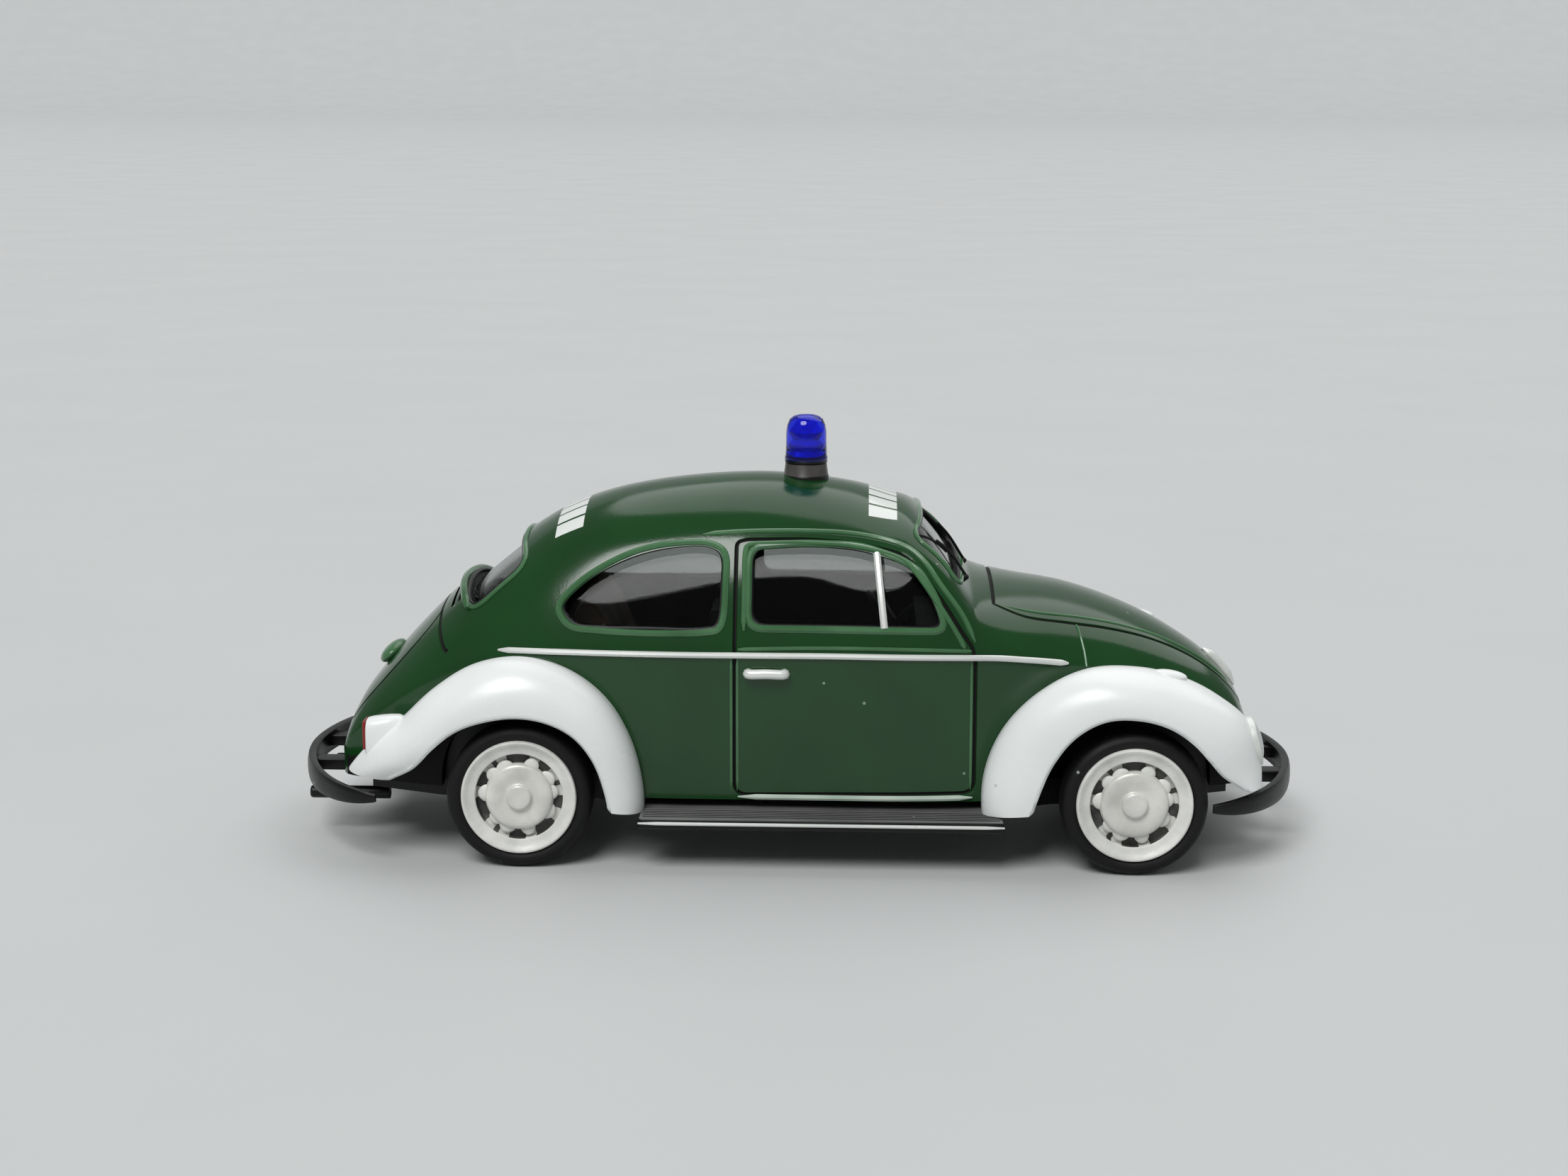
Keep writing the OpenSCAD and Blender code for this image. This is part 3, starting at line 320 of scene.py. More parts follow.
def block(name, low, high, round_off, segments=3):
    """A box between two corners with rounded edges."""
    size = Vector(high) - Vector(low)
    bpy.ops.mesh.primitive_cube_add(size=1)
    obj = added(name)
    obj.data.transform(Matrix.Diagonal((*(size * MM), 1)))
    obj.data.transform(Matrix.Translation((Vector(low) + Vector(high)) / 2 * MM))
    return rounded(obj, round_off, segments)


def ball(name, centre, radii, turn=0.0):
    bpy.ops.mesh.primitive_uv_sphere_add(segments=32, ring_count=20, radius=1)
    obj = added(name)
    obj.data.transform(Matrix.Diagonal((*(Vector(radii) * MM), 1)))
    obj.data.transform(Matrix.Rotation(turn, 4, "Y"))
    obj.data.transform(moved(*centre))
    return obj


def carve(obj, tool, operation="DIFFERENCE"):
    """Cuts the tool out of an object, or keeps what they share, and removes the tool."""
    only(obj)
    for solver in ("MANIFOLD", "EXACT"):
        count = len(obj.data.polygons)
        step = obj.modifiers.new("carve", "BOOLEAN")
        step.operation = operation
        step.solver = solver
        step.object = tool
        bpy.ops.object.modifier_apply(modifier=step.name)
        if len(obj.data.polygons) != count:
            break
    discard(tool)


def joined(obj, others):
    only(obj)
    for other in others:
        other.select_set(True)
    bpy.ops.object.join()


def gathered(name, parts):
    joined(parts[0], parts[1:])
    parts[0].name = name
    return parts[0]


def copy_of(obj, name, placing):
    twin = obj.copy()
    twin.data = obj.data.copy()
    twin.name = name
    shown(twin)
    twin.data.transform(placing)
    return twin


def smooth(obj, degrees=32):
    only(obj)
    bpy.ops.object.shade_smooth_by_angle(angle=radians(degrees))


# Colours are written as screen values and turned into light values
def paint(red, green, blue):
    def light(c):
        c /= 255
        return c / 12.92 if c <= 0.04045 else ((c + 0.055) / 1.055) ** 2.4
    return (light(red), light(green), light(blue), 1.0)


def feed(tree, socket, value):
    """Links a socket to another one, or sets it to a constant."""
    if isinstance(value, bpy.types.NodeSocket):
        tree.links.new(value, socket)
    else:
        socket.default_value = value


def worked(tree, kind, first, second=0.0):
    node = tree.nodes.new("ShaderNodeMath")
    node.operation = kind
    feed(tree, node.inputs[0], first)
    feed(tree, node.inputs[1], second)
    return node.outputs[0]


# A shader group for moulded plastic: slow tone changes, fine grain and a few dust specks
GROUP_SIZES = (("Tone size", 300.0), ("Grain size", 9000.0), ("Speck size", 2200.0), ("Specks", 0.2))
SPECK_R = 0.16


def make_moulding_group():
    tree = bpy.data.node_groups.new("moulded_surface", "ShaderNodeTree")
    for name, value in GROUP_SIZES:
        socket = tree.interface.new_socket(name=name, in_out="INPUT", socket_type="NodeSocketFloat")
        socket.default_value = value
    for name in ("Tone", "Grain", "Dust"):
        tree.interface.new_socket(name=name, in_out="OUTPUT", socket_type="NodeSocketFloat")
    entry = tree.nodes.new("NodeGroupInput")
    leave = tree.nodes.new("NodeGroupOutput")
    place = tree.nodes.new("ShaderNodeTexCoord")
    tone = tree.nodes.new("ShaderNodeTexNoise")
    grain = tree.nodes.new("ShaderNodeTexNoise")
    speck = tree.nodes.new("ShaderNodeTexVoronoi")
    tone.inputs["Detail"].default_value = 4
    grain.inputs["Detail"].default_value = 3
    for node, size in ((tone, "Tone size"), (grain, "Grain size"), (speck, "Speck size")):
        feed(tree, node.inputs["Vector"], place.outputs["Object"])
        feed(tree, node.inputs["Scale"], entry.outputs[size])
    shade = tree.nodes.new("ShaderNodeSeparateColor")
    feed(tree, shade.inputs["Color"], speck.outputs["Color"])
    near = worked(tree, "LESS_THAN", speck.outputs["Distance"], SPECK_R)
    few = worked(tree, "LESS_THAN", shade.outputs["Red"], entry.outputs["Specks"])
    feed(tree, leave.inputs["Tone"], tone.outputs["Fac"])
    feed(tree, leave.inputs["Grain"], grain.outputs["Fac"])
    feed(tree, leave.inputs["Dust"], worked(tree, "MULTIPLY", near, few))
    return tree


MOULDING = make_moulding_group()


def mix_colour(tree, factor, first, second):
    mix = tree.nodes.new("ShaderNodeMix")
    mix.data_type = "RGBA"
    feed(tree, mix.inputs["Factor"], factor)
    feed(tree, mix.inputs[6], first)
    feed(tree, mix.inputs[7], second)
    return mix.outputs[2]


# The part of a noise value's range that is used
NOISE_LOW = 0.3
NOISE_HIGH = 0.7


def ranged(tree, value, low, high):
    node = tree.nodes.new("ShaderNodeMapRange")
    limits = (("From Min", NOISE_LOW), ("From Max", NOISE_HIGH), ("To Min", low), ("To Max", high))
    for limit, level in limits:
        node.inputs[limit].default_value = level
    feed(tree, node.inputs["Value"], value)
    return node.outputs["Result"]


LEVELS = {"metal": "Metallic", "through": "Transmission Weight", "ior": "IOR", "gloss": "Specular IOR Level"}
BUMP_DEPTH = 0.00005


def moulded(name, base, shade, rough, specks=0.0, bump=0.04, grain=9000.0, tone=300.0,
            dust=(150, 155, 150), **levels):
    """A plastic finish between two tones and two roughnesses."""
    material = bpy.data.materials.new(name)
    material.use_nodes = True
    tree = material.node_tree
    shader = tree.nodes["Principled BSDF"]
    for level, value in levels.items():
        shader.inputs[LEVELS[level]].default_value = value
    surface = tree.nodes.new("ShaderNodeGroup")
    surface.node_tree = MOULDING
    for size, value in (("Tone size", tone), ("Grain size", grain), ("Specks", specks)):
        surface.inputs[size].default_value = value
    tint = ranged(tree, surface.outputs["Tone"], 0.0, 1.0)
    colour = mix_colour(tree, tint, paint(*base), paint(*shade))
    feed(tree, shader.inputs["Base Color"], mix_colour(tree, surface.outputs["Dust"], colour, paint(*dust)))
    feed(tree, shader.inputs["Roughness"], ranged(tree, surface.outputs["Tone"], *rough))
    relief = tree.nodes.new("ShaderNodeBump")
    relief.inputs["Strength"].default_value = bump
    relief.inputs["Distance"].default_value = BUMP_DEPTH
    feed(tree, relief.inputs["Height"], surface.outputs["Grain"])
    feed(tree, shader.inputs["Normal"], relief.outputs["Normal"])
    return material


ROOF_BLOCKS = 7
BLOCK_GAP_SHARE = 0.16


def add_roof_marks(material, rows, colour):
    """Plain printed blocks in rows across the roof. Each row is a box in x and y above a height."""
    tree = material.node_tree
    shader = tree.nodes["Principled BSDF"]
    place = tree.nodes.new("ShaderNodeTexCoord")
    parts = tree.nodes.new("ShaderNodeSeparateXYZ")
    feed(tree, parts.inputs[0], place.outputs["Object"])
    total = None
    for x0, x1, half, z in rows:
        pitch = 2 * half / ROOF_BLOCKS
        from_edge = worked(tree, "ADD", parts.outputs["Y"], half * MM)
        step = worked(tree, "FRACT", worked(tree, "DIVIDE", from_edge, pitch * MM))
        mask = worked(tree, "GREATER_THAN", step, BLOCK_GAP_SHARE)
        tests = (("X", "GREATER_THAN", x0), ("X", "LESS_THAN", x1), ("Y", "GREATER_THAN", -half),
                 ("Y", "LESS_THAN", half), ("Z", "GREATER_THAN", z))
        for axis, kind, limit in tests:
            mask = worked(tree, "MULTIPLY", mask, worked(tree, kind, parts.outputs[axis], limit * MM))
        total = mask if total is None else worked(tree, "MAXIMUM", total, mask)
    under = shader.inputs["Base Color"].links[0].from_socket
    feed(tree, shader.inputs["Base Color"], mix_colour(tree, total, under, colour))


ROOF_ROWS = ((3.3, 4.6, 3.7, 14.5), (-11.1, -9.8, 3.5, 13.0))
green = moulded("green_body", (20, 66, 27), (16, 59, 22), (0.1, 0.18), specks=0.012, dust=(132, 150, 134))
add_roof_marks(green, ROOF_ROWS, paint(226, 230, 226))
# Pale green painted on the sill bead as a highlight along the door's lower edge
sill_highlight = moulded("sill_highlight", (206, 216, 207), (160, 182, 163), (0.1, 0.2))
# Lighter green painted on the raised beads and lips as a highlight
green_edge_highlight = moulded("green_edge_highlight", (80, 122, 85), (52, 95, 57), (0.08, 0.16))
white = moulded("white_wings", (240, 243, 242), (232, 236, 235), (0.22, 0.34), specks=0.01,
                dust=(205, 205, 200))
black = moulded("black_plastic", (9, 9, 10), (16, 16, 17), (0.3, 0.46), specks=0.05, bump=0.1,
                grain=5000.0, gloss=0.3)
# Lighter grey painted on the running boards' top faces as the sheen of light on them
board_top_sheen = moulded("board_top_sheen_grey", (112, 113, 112), (84, 85, 84), (0.25, 0.4), specks=0.03, bump=0.1,
                   grain=5000.0)
seal = moulded("window_seal", (8, 9, 9), (14, 15, 15), (0.4, 0.55))
silver = moulded("silver_print", (236, 238, 234), (214, 218, 214), (0.22, 0.36), metal=0.2)
rim_white = moulded("rim_white", (234, 234, 229), (206, 207, 202), (0.3, 0.5), bump=0.3, grain=6000.0,
                    tone=900.0)
cap_grey = moulded("cap_grey", (233, 232, 226), (200, 200, 194), (0.26, 0.42), bump=0.2, grain=4000.0,
                   tone=700.0, metal=0.15)
# Slots in the wheel ring between the lugs, painted dark as shade
slot_shade = moulded("slot_shade", (46, 46, 45), (96, 95, 92), (0.5, 0.7), bump=0.3, grain=5000.0, tone=1500.0)
tyre_black = moulded("tyre_black", (8, 8, 8), (14, 14, 14), (0.5, 0.7), specks=0.02, bump=0.15,
                     grain=5000.0, gloss=0.3)
# Dark interior plastic, also used as painted shade on the body's gaps, arches and inner faces and under the
# wings
interior_dark = moulded("interior_dark", (13, 12, 12), (20, 19, 18), (0.5, 0.7), gloss=0.2)
interior_brown = moulded("interior_brown", (126, 100, 83), (98, 78, 65), (0.45, 0.65), gloss=0.25)
steel = moulded("axle_steel", (168, 168, 170), (140, 141, 144), (0.25, 0.42), metal=1.0)
red = moulded("red_lens", (168, 22, 18), (128, 14, 12), (0.1, 0.2), through=0.25)
clear = moulded("clear_glazing", (188, 191, 189), (180, 184, 182), (0.02, 0.05), bump=0.005, through=1.0,
                ior=1.22, gloss=0.3)
lens = moulded("lamp_lens", (236, 239, 239), (218, 223, 223), (0.06, 0.14), bump=0.15, grain=2500.0,
               through=0.3)
blue = moulded("blue_dome", (38, 62, 255), (24, 44, 240), (0.01, 0.03), bump=0.01, through=0.95, ior=1.45)
blue_core = moulded("blue_core", (60, 96, 255), (20, 40, 200), (0.15, 0.3), tone=2500.0)
smoke = moulded("smoke_foot", (92, 90, 87), (62, 60, 58), (0.2, 0.34), tone=900.0)


# A cut can leave an empty first material slot, so that one is filled too
def finish(obj, material, body="car", node=None, degrees=32):
    if not obj.data.materials:
        obj.data.materials.append(material)
    else:
        obj.data.materials[0] = material
    smooth(obj, degrees)
    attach(obj, body)
    if node:
        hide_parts(node)


def bright(obj, node, degrees=32):
    finish(obj, silver, node=node, degrees=degrees)


def two_finishes(obj, first, second, chosen):
    """A second material for the faces whose middle, in millimetres, and normal pass a test."""
    obj.data.materials.clear()
    obj.data.materials.append(first)
    obj.data.materials.append(second)
    for face in obj.data.polygons:
        if chosen(face.center / MM, face.normal):
            face.material_index = 1


# Body solid at any offset from the skin
SIDE_STEPS = 10
TOP_STEPS = 30


def body_solid(name, grow, base, steps=6):
    rings = []
    for row in open_curve(BODY_SHARES, steps):
        s = station(row, grow)
        wide = skin_reach(s, 0)
        half = []
        for k in range(SIDE_STEPS):
            t = k / SIDE_STEPS
            half.append((wide * (SILL_WIDTH + (1 - SILL_WIDTH) * t), base + (s.shoulder - base) * t))
        for k in range(TOP_STEPS + 1):
            a = pi / 2 * k / TOP_STEPS
            half.append((skin_reach(s, a) * cos(a), s.shoulder + skin_reach(s, a) * sin(a)))
        ring = [(s.x, y, z) for y, z in half]
        ring += [(s.x, -y, z) for y, z in reversed(half[:-1])]
        rings.append(ring)
    return formed(name, rings)


# Outlines of windows and doors in the side view
QUARTER_WINDOW = closed_curve(side_points((
    (0.4225, 0.7), (0.421, 0.785), (0.403, 0.813), (0.37, 0.808), (0.334, 0.785),
    (0.3, 0.743), (0.272, 0.69), (0.252, 0.622), (0.264, 0.566), (0.295, 0.557),
    (0.35, 0.557), (0.4, 0.557), (0.419, 0.58))), 6)
MOST_CUT = 0.45


def rounded_outline(points, radius, steps=6):
    """Corners of a closed outline replaced by small arcs."""
    out = []
    n = len(points)
    for i in range(n):
        before, here, after = (Vector(points[(i + j) % n]) for j in (-1, 0, 1))
        to_before = before - here
        to_after = after - here
        cut = min(radius, to_before.length * MOST_CUT, to_after.length * MOST_CUT)
        start = here + to_before.normalized() * cut
        end = here + to_after.normalized() * cut
        for k in range(steps + 1):
            t = k / steps
            out.append(tuple(start * (1 - t) ** 2 + here * 2 * t * (1 - t) + end * t * t))
    return out


def spaced(points, step, closed=True):
    """Points at an even spacing along a line."""
    line = list(points) + ([points[0]] if closed else [])
    out = []
    for a, b in zip(line, line[1:]):
        a, b = Vector(a), Vector(b)
        count = max(1, ceil((b - a).length / step))
        out += [tuple(a + (b - a) * k / count) for k in range(count)]
    return out if closed else out + [tuple(line[-1])]


DOOR_WINDOW = rounded_outline(side_points((
    (0.453, 0.57), (0.453, 0.81), (0.51, 0.818), (0.565, 0.808), (0.609, 0.776),
    (0.627, 0.748), (0.646, 0.664), (0.657, 0.57))), 0.7)
DOOR = rounded_outline(side_points((
    (0.4365, 0.016), (0.4365, 0.826), (0.448, 0.834), (0.511, 0.836), (0.565, 0.826),
    (0.612, 0.798), (0.631, 0.756), (0.657, 0.65), (0.675, 0.566), (0.688, 0.51),
    (0.6905, 0.47), (0.6915, 0.03))), 0.6)


def side_path(outline, side, out=0.0, step=0.3, closed=True):
    """An outline of the side view laid on the skin."""
    return [(x, side * (skin_y(x, z) + out), z) for x, z in spaced(outline, step, closed)]


def widened(outline, out):
    """An outline grown from its middle."""
    middle = sum((Vector(p) for p in outline), Vector((0, 0))) / len(outline)
    grown = []
    for p in outline:
        arm = Vector(p) - middle
        grown.append(tuple(middle + arm * (1 + out / arm.length)))
    return grown


def side_prism(name, outline):
    return formed(name, [[(x, y, z) for x, z in outline] for y in (-CLEAR_Y, CLEAR_Y)])


# Windscreen and rear window: middle, half widths low and high, height up the glass, tilt and facing
END_WINDOWS = {
    "windscreen": ((0.6565, 0.792), (0.72, 0.62), 2.95, radians(38), 1),
    "rear_window": ((0.166, 0.712), (0.6, 0.52), 3.3, radians(55), -1),
}
END_CORNER = 0.9
END_DEPTH = 1.7
END_SPACING = 0.35
ACROSS = Vector((0, 1, 0))


def end_window_frame(name):
    place, widths, up, tilt, facing = END_WINDOWS[name]
    middle = Vector((along(place[0]), 0, height(place[1])))
    normal = Vector((facing * cos(tilt), 0, sin(tilt)))
    rise = Vector((-facing * sin(tilt), 0, cos(tilt)))
    low, high = (w * HALF_W for w in widths)
    corners = [(-low, -up / 2), (low, -up / 2), (high, up / 2), (-high, up / 2)]
    flat = spaced(rounded_outline(corners, END_CORNER), END_SPACING)
    return middle, normal, rise, flat


def end_prism(name):
    middle, normal, rise, flat = end_window_frame(name)
    rings = []
    for depth in (-END_DEPTH, END_DEPTH):
        rings.append([tuple(middle + ACROSS * y + rise * u + normal * depth) for y, u in flat])
    return formed(name, rings)


def end_path(name, out=0.0, wider=0.0):
    middle, normal, rise, flat = end_window_frame(name)
    return [tuple(on_skin(middle + ACROSS * y + rise * u, normal, out)) for y, u in widened(flat, wider)]


def window_prisms():
    yield side_prism("quarter_cut", QUARTER_WINDOW)
    yield side_prism("door_cut", DOOR_WINDOW)
    for name in END_WINDOWS:
        yield end_prism(name)


# Body shell
BONNET = ((0.711, 0.62), (0.745, 0.65), (0.79, 0.6), (0.835, 0.51), (0.88, 0.41), (0.925, 0.32),
          (0.965, 0.25), (0.988, 0.2))
BONNET_EDGE = ((0.722, 0.6), (0.765, 0.575), (0.81, 0.5), (0.855, 0.405), (0.9, 0.31), (0.945, 0.23),
               (0.975, 0.18))
ENGINE_LID = ((0.01, 0.4), (0.04, 0.44), (0.07, 0.45), (0.096, 0.42), (0.109, 0.34))
LID_LINE = ((-15.9, 5.15), (-16.15, 4.84), (-16.4, 4.05), (-16.52, 3.0), (-16.55, 2.4))
COWL_LINE = ((12.8, 4.25), (12.92, 4.6), (13.05, 5.0), (13.16, 5.35), (13.22, 5.62))
GROOVE_R = 0.1
LOUVRES = 5
LOUVRE_X = 0.116
LOUVRE_STEP = 0.0072
LOUVRE_Y = (0.1, 0.18, 0.26, 0.34, 0.42)


def lid_path(shares):
    half = open_curve(plan_points(shares), 6)
    loop = half + [(x, -y) for x, y in reversed(half)]
    return top_path(spaced(loop, 0.3))


GUTTER = ((0.69, 0.53), (0.676, 0.615), (0.655, 0.7), (0.634, 0.782), (0.612, 0.823), (0.565, 0.85),
          (0.511, 0.858), (0.45, 0.856), (0.4, 0.846))
DOOR_FRAME = ((0.446, 0.56), (0.446, 0.7), (0.4462, 0.795), (0.451, 0.818), (0.47, 0.823),
              (0.511, 0.825), (0.565, 0.815), (0.609, 0.786), (0.6275, 0.744), (0.653, 0.64),
              (0.671, 0.556), (0.679, 0.512))
BELT_RIDGE = ((0.44, 0.503), (0.5, 0.508), (0.56, 0.51), (0.62, 0.509), (0.686, 0.504))
DOOR_SILL = ((0.44, 0.01), (0.56, 0.01), (0.69, 0.014))
DOOR_REAR = ((0.4395, 0.03), (0.4395, 0.3), (0.4395, 0.48))
DOOR_FRONT = ((0.6875, 0.04), (0.687, 0.3), (0.6865, 0.47))
PILLAR_REAR = ((0.433, 0.03), (0.433, 0.3), (0.433, 0.48))
# Raised lines on each side: name, line, radius, stand-off and points in the thin ends
SIDE_BEADS = (
    ("gutter", GUTTER, 0.13, 0.0, 4),
    ("door_frame", DOOR_FRAME, 0.13, 0.02, 3),
    ("belt_ridge", BELT_RIDGE, 0.09, 0.0, 2),
    ("sill_bead", DOOR_SILL, 0.13, 0.03, 4),
    ("gap_edge", DOOR_REAR, 0.07, -0.02, 3),
    ("gap_edge", DOOR_FRONT, 0.07, -0.02, 3),
    ("gap_edge", PILLAR_REAR, 0.07, -0.02, 3),
)
LIP_STEP = 0.25
REAR_LIP_X = -15.62
REAR_LIP_BOW = 0.034
REAR_LIP_HALF = 4.25
REAR_LIP_STEP = 0.425
REAR_LIP_OUT = 0.08
PLATE_LAMP = (0.72, 1.15, 0.36)
PLATE_LAMP_X = 0.047
PLATE_LAMP_TURN = radians(-40)
# Where the body gets painted shade: round the wheel arches, low on the sides past the axles, and in gaps
# deeper than a set depth
UNDER_WING_R = {FRONT_AXLE_X: 4.5, REAR_AXLE_X: 5.7}
UNDER_WING_Z = 3.9
SIDE_FACING = 0.6
ARCH_DEPTH = 0.06
GAP_DEPTH = 0.045
END_ZONE = 0.6


def painted_shade_on_body(middle, normal):
    """Faces painted dark as shade: the gaps, the inside of the shell, the wheel arches and the sides under
    the ends of the wings.
    """
    at_end = min(middle.x - TAIL_X, TAIL_X + BODY_LEN - middle.x) < END_ZONE and middle.x * normal.x > 0
    if not at_end and below_skin(middle, GAP_DEPTH):
        return True
    past_axles = middle.x < REAR_AXLE_X or middle.x > FRONT_AXLE_X
    for axle_x, under_wing in UNDER_WING_R.items():
        reach = under_wing if past_axles else ARCH_R + ARCH_DEPTH
        if hypot(middle.x - axle_x, middle.z - TYRE_R) < reach:
            return True
    return past_axles and middle.z < UNDER_WING_Z and abs(normal.y) > SIDE_FACING


def cut_body(body):
    carve(body, body_solid("hollow", -WALL, SILL_H - 1.0, 3))
    for prism in window_prisms():
        carve(body, prism)
    turns = [k * pi / 36 for k in range(72)]
    for x in (FRONT_AXLE_X, REAR_AXLE_X):
        circle = [(x + ARCH_R * cos(a), TYRE_R + ARCH_R * sin(a)) for a in turns]
        carve(body, side_prism("arch", circle))
    for side in SIDES.values():
        carve(body, tube("door_gap", side_path(DOOR, side), GROOVE_R, closed=True))
    for shares in (BONNET, ENGINE_LID):
        carve(body, tube("lid_gap", lid_path(shares), GROOVE_R, closed=True))
    for side in SIDES.values():
        carve(body, tube("lid_seam", top_path(open_curve(LID_LINE, 5), side), GROOVE_R))
        for k in range(LOUVRES):
            x = along(LOUVRE_X + LOUVRE_STEP * k)
            louvre = top_path([(x, y * HALF_W) for y in LOUVRE_Y], side)
            carve(body, tube("louvre", louvre, GROOVE_R))


def body_beads():
    beads = []
    for side in SIDES.values():
        for outline in (QUARTER_WINDOW, DOOR_WINDOW):
            lip = side_path(widened(outline, 0.15), side, -0.07, LIP_STEP)
            beads.append(tube("window_lip", lip, 0.18, closed=True))
        for name, shares, radius, out, taper in SIDE_BEADS:
            line = side_path(open_curve(side_points(shares), 6), side, out, closed=False)
            beads.append(tube(name, line, radius, taper=taper))
        beads.append(tube("cowl_edge", top_path(open_curve(COWL_LINE, 4), side), 0.06, taper=2))
        edge = top_path(open_curve(plan_points(BONNET_EDGE), 5), side, -0.02)
        beads.append(tube("bonnet_edge", edge, 0.08, taper=4))
    rear_lip = []
    for k in range(21):
        y = -REAR_LIP_HALF + REAR_LIP_STEP * k
        x = REAR_LIP_X + REAR_LIP_BOW * y * y
        rear_lip.append((x - REAR_LIP_OUT, y, skin_z(x, y) + REAR_LIP_OUT))
    beads.append(tube("rear_lip", rear_lip, 0.19, taper=2))
    beads.append(tube("rear_window_edge", end_path("rear_window", 0.0, 0.24), 0.13, closed=True))
    beads.append(tube("windscreen_edge", end_path("windscreen", 0.0, 0.22), 0.12, closed=True))
    lamp_x = along(PLATE_LAMP_X)
    lamp_middle = (lamp_x - 0.16, 0, skin_z(lamp_x, 0) + 0.02)
    beads.append(ball("plate_lamp", lamp_middle, PLATE_LAMP, PLATE_LAMP_TURN))
    # Beads get the lighter green painted as a highlight, and the sill bead a paler one
    for bead in beads:
        bead.data.materials.append(sill_highlight if bead.name.startswith("sill_bead") else green_edge_highlight)
    return beads


def make_body():
    body = body_solid("body_skin", 0.0, SILL_H)
    cut_body(body)
    # Gaps, the inside of the shell, the wheel arches and the sides under the wings are painted dark as shade
    two_finishes(body, green, interior_dark, painted_shade_on_body)
    joined(body, body_beads())
    finish(body, green, node="body_shell", degrees=38)


# Panes between two depths under the skin, with their seals
PANE_OUT = -0.35
PANE_IN = -0.65
SEAL_R = 0.11


def make_glazing():
    panes = []
    vault = body_solid("vault", PANE_OUT, SILL_H, 4)
    carve(vault, body_solid("vault_hollow", PANE_IN, SILL_H - 1.0, 4))
    for prism in window_prisms():
        pane = copy_of(vault, "pane", Matrix.Identity(4))
        carve(pane, prism, "INTERSECT")
        panes.append(pane)
    discard(vault)
    finish(gathered("window_panes", panes), clear, node="glazing")
    seals = []
    for side in SIDES.values():
        for outline in (QUARTER_WINDOW, DOOR_WINDOW):
            seals.append(tube("side_seal", side_path(outline, side, -0.3, LIP_STEP), SEAL_R, closed=True))
    for name in END_WINDOWS:
        seals.append(tube("end_seal", end_path(name, -0.1), SEAL_R, closed=True))
    finish(gathered("window_seals", seals), seal)


# Wings swept round the axles: angle, edge and crest radius, edge and crest width, root width and drop
FRONT_WING = (
    (-6, 1.2, 1.72, 0.96, 1.0, 0.92, 0.0),
    (10, 1.12, 1.71, 0.977, 1.0, 0.92, 0.0),
    (30, 1.096, 1.684, 0.989, 0.993, 0.89, 0.02),
    (50, 1.106, 1.638, 0.994, 0.986, 0.83, 0.07),
    (70, 1.106, 1.59, 1.0, 0.96, 0.74, 0.13),
    (90, 1.063, 1.515, 1.0, 0.93, 0.65, 0.2),
    (110, 1.033, 1.49, 0.994, 0.903, 0.56, 0.25),
    (130, 1.012, 1.515, 0.983, 0.875, 0.47, 0.28),
    (147, 1.018, 1.58, 0.96, 0.854, 0.39, 0.28),
    (161, 1.09, 1.545, 0.93, 0.842, 0.31, 0.25),
    (173, 1.316, 1.5, 0.893, 0.835, 0.26, 0.22),
)
REAR_WING = (
    (-8, 1.076, 1.418, 0.966, 1.0, 0.92, 0.0),
    (10, 1.025, 1.385, 0.983, 1.0, 0.92, 0.0),
    (30, 1.02, 1.41, 0.994, 1.0, 0.92, 0.0),
    (50, 1.025, 1.475, 1.0, 0.993, 0.9, 0.0),
    (70, 1.008, 1.53, 1.0, 0.972, 0.87, 0.03),
    (90, 1.0, 1.565, 1.0, 0.958, 0.83, 0.08),
    (110, 1.018, 1.56, 1.0, 0.93, 0.77, 0.12),
    (130, 1.084, 1.545, 0.994, 0.903, 0.7, 0.15),
    (150, 1.165, 1.61, 0.972, 0.861, 0.6, 0.18),
    (165, 1.29, 1.85, 0.915, 0.806, 0.49, 0.2),
    (176, 1.6, 2.08, 0.814, 0.75, 0.4, 0.2),
)
WING_T = 0.5
WING_CLEAR = 0.03
ARC_STEPS = 16
ROOT_STEPS = 6
ROLL_R = 0.2
UNDERSIDE = 0.4
INDICATOR = (0.8, 0.42, 0.24)
INDICATOR_TURN = radians(8)
WingRow = namedtuple("WingRow", "angle edge_r crest_r edge_y crest_y root_y drop")


def wing_section(row):
    edge_r, crest_r = row.edge_r * ARCH_R, row.crest_r * ARCH_R
    edge_y, crest_y, root_y = row.edge_y * WING_HALF, row.crest_y * HALF_W, row.root_y * HALF_W
    root_r = crest_r - row.drop * ARCH_R
    outer, inner = [], []
    for k in range(ROOT_STEPS):
        t = k / ROOT_STEPS
        lift = sin(t * pi / 2)
        y = root_y + (crest_y - root_y) * t
        r = root_r + (crest_r - root_r) * lift
        outer.append((y, r))
        inner.append((y, r - WING_T))
    for k in range(ARC_STEPS + 1):
        a = pi / 2 * k / ARC_STEPS
        outer.append((crest_y + (edge_y - crest_y) * sin(a), edge_r + (crest_r - edge_r) * cos(a)))
        inner.append((crest_y + (edge_y - WING_T - crest_y) * sin(a),
                      edge_r + (crest_r - WING_T - edge_r) * cos(a)))
    return outer + inner[::-1]


